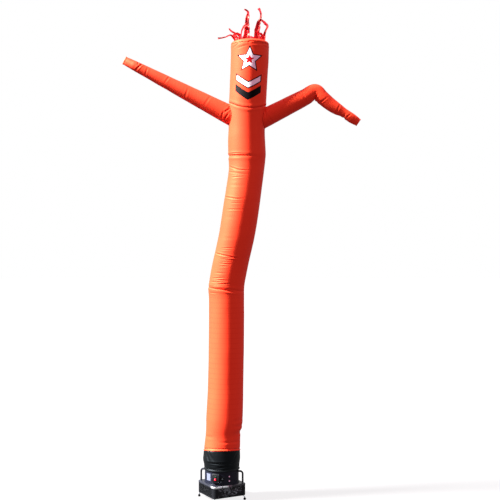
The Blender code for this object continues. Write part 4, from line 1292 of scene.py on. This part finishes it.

# %% [markdown]
# Stitches show at the hems and on both sides of the shoulder seam. A real one is 3 mm long. They are drawn 7 mm
# long, so that they read from a step away. Hundreds of small rods of four sides, in one mesh, stand just proud of the
# cloth.

# %% Stitching
STITCH_LONG, STITCH_PITCH, THREAD = 0.0070, 0.0115, 0.0007
thread, tree, shader = new_finish("polyester_thread_orange", "#B4141A", 0.6)
noisy_roughness(tree, shader, 500.0, 0.5, 0.75)


def stitch_rows(name, rows, finish, slot):
    """rows are functions that give a point on the cloth and the way out of it, for a share of the row's length."""
    bm = bmesh.new()
    for point_at, length in rows:
        count = max(3, round(length / STITCH_PITCH))
        for i in range(count):
            middle, out = point_at((i + 0.5) / count)
            ahead, _ = point_at((i + 0.5 + 0.5 * STITCH_LONG / STITCH_PITCH) / count)
            behind, _ = point_at((i + 0.5 - 0.5 * STITCH_LONG / STITCH_PITCH) / count)
            add_rod(bm, behind + out * THREAD * 0.4, ahead + out * THREAD * 0.4, THREAD, sides=4)
    return finish_mesh(bm, name, finish, slot)


def round_tube(height_of, point_of):
    """A row of stitches round the tube at a height that may change with the angle."""

    def point_at(share):
        angle = share * TURN
        point = point_of(angle, height_of(angle))
        across, back, _ = along_table(SPINE, point.z)
        return point, Vector((point.x - across, point.y - back, 0)).normalized()

    return point_at, TURN * 0.235


def on_body(angle, height):
    """A point of the body near its hem or its shoulder seam."""
    if height < SHOULDER_FOOT:
        row = HEM_ROWS * (height - hem(angle)) / (body_heights[0] - hem(angle))
    else:
        yoke = (height - SHOULDER_FOOT) / (shoulder_seam(angle) - 0.0003 - SHOULDER_FOOT)
        row = HEM_ROWS + level_rows + YOKE_ROWS * yoke
    return body_point((angle - SEAM_AT) / TURN, row / body_rows)


def on_head(angle, height):
    foot = shoulder_seam(angle) + 0.0003
    return head_point((angle - SEAM_AT) / TURN, (height - foot) / (CAP_SEAM - 0.0003 - foot))


def on_sleeve(angle, height):
    return sleeve_point((angle - SEAM_AT) / TURN, (height - SLEEVE_FOOT) / (hem(angle) + TUCK_RISE - SLEEVE_FOOT))


orange_stitches = stitch_rows(
    "seam_stitches",
    [
        round_tube(lambda angle: hem(angle) + 0.022, on_body),
        round_tube(lambda angle: shoulder_seam(angle) - 0.012, on_body),
        round_tube(lambda angle: shoulder_seam(angle) + 0.012, on_head),
    ],
    thread,
    "nylon_orange",
)
black_thread, tree, shader = new_finish("polyester_thread_black", "#1B1D20", 0.6)
noisy_roughness(tree, shader, 500.0, 0.5, 0.75)
black_stitches = stitch_rows(
    "sleeve_stitches", [round_tube(lambda angle: SLEEVE_FOOT + 0.020, on_sleeve)], black_thread, "nylon_black"
)
print("stitches:", len(orange_stitches.data.polygons) // 6 + len(black_stitches.data.polygons) // 6)

# %% [markdown]
# The floor is plain, pale and large enough that its far edge meets the background at the horizon. It glows like a
# light table, so that shadows on it stay faint. It would throw light up under the arms, which a lawn doesn't, so it
# is left out of the light that surfaces pass on.

# %% Floor
bm = bmesh.new()
bmesh.ops.create_grid(bm, x_segments=1, y_segments=1, size=90.0)
mesh = bpy.data.meshes.new("floor")
bm.to_mesh(mesh)
bm.free()
floor = bpy.data.objects.new("floor", mesh)
floor.location.z = -0.001
bpy.context.scene.collection.objects.link(floor)
pale_floor, tree, shader = new_finish(
    "pale_floor", "#383838", 0.9, Specular_IOR_Level=0.0, Emission_Color=linear("#FFFFFF"), Emission_Strength=0.84
)
mesh.materials.append(pale_floor)
floor.visible_diffuse = False
floor.visible_glossy = False
floor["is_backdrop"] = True
print("floor:", floor.dimensions[:2])

# %% [markdown]
# Last, the sizes of the solids and of the dressed figure are printed side by side. Cloth may stand a little proud
# of its solids, but the figure's size may not change.

# %% Measure and finish
dressed_box = [list(corner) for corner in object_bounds()]
for side, name in enumerate("XYZ"):
    solids, dressed = (round(box[1][side] - box[0][side], 3) for box in (solid_box, dressed_box))
    print(name, "solids", solids, "dressed", dressed)
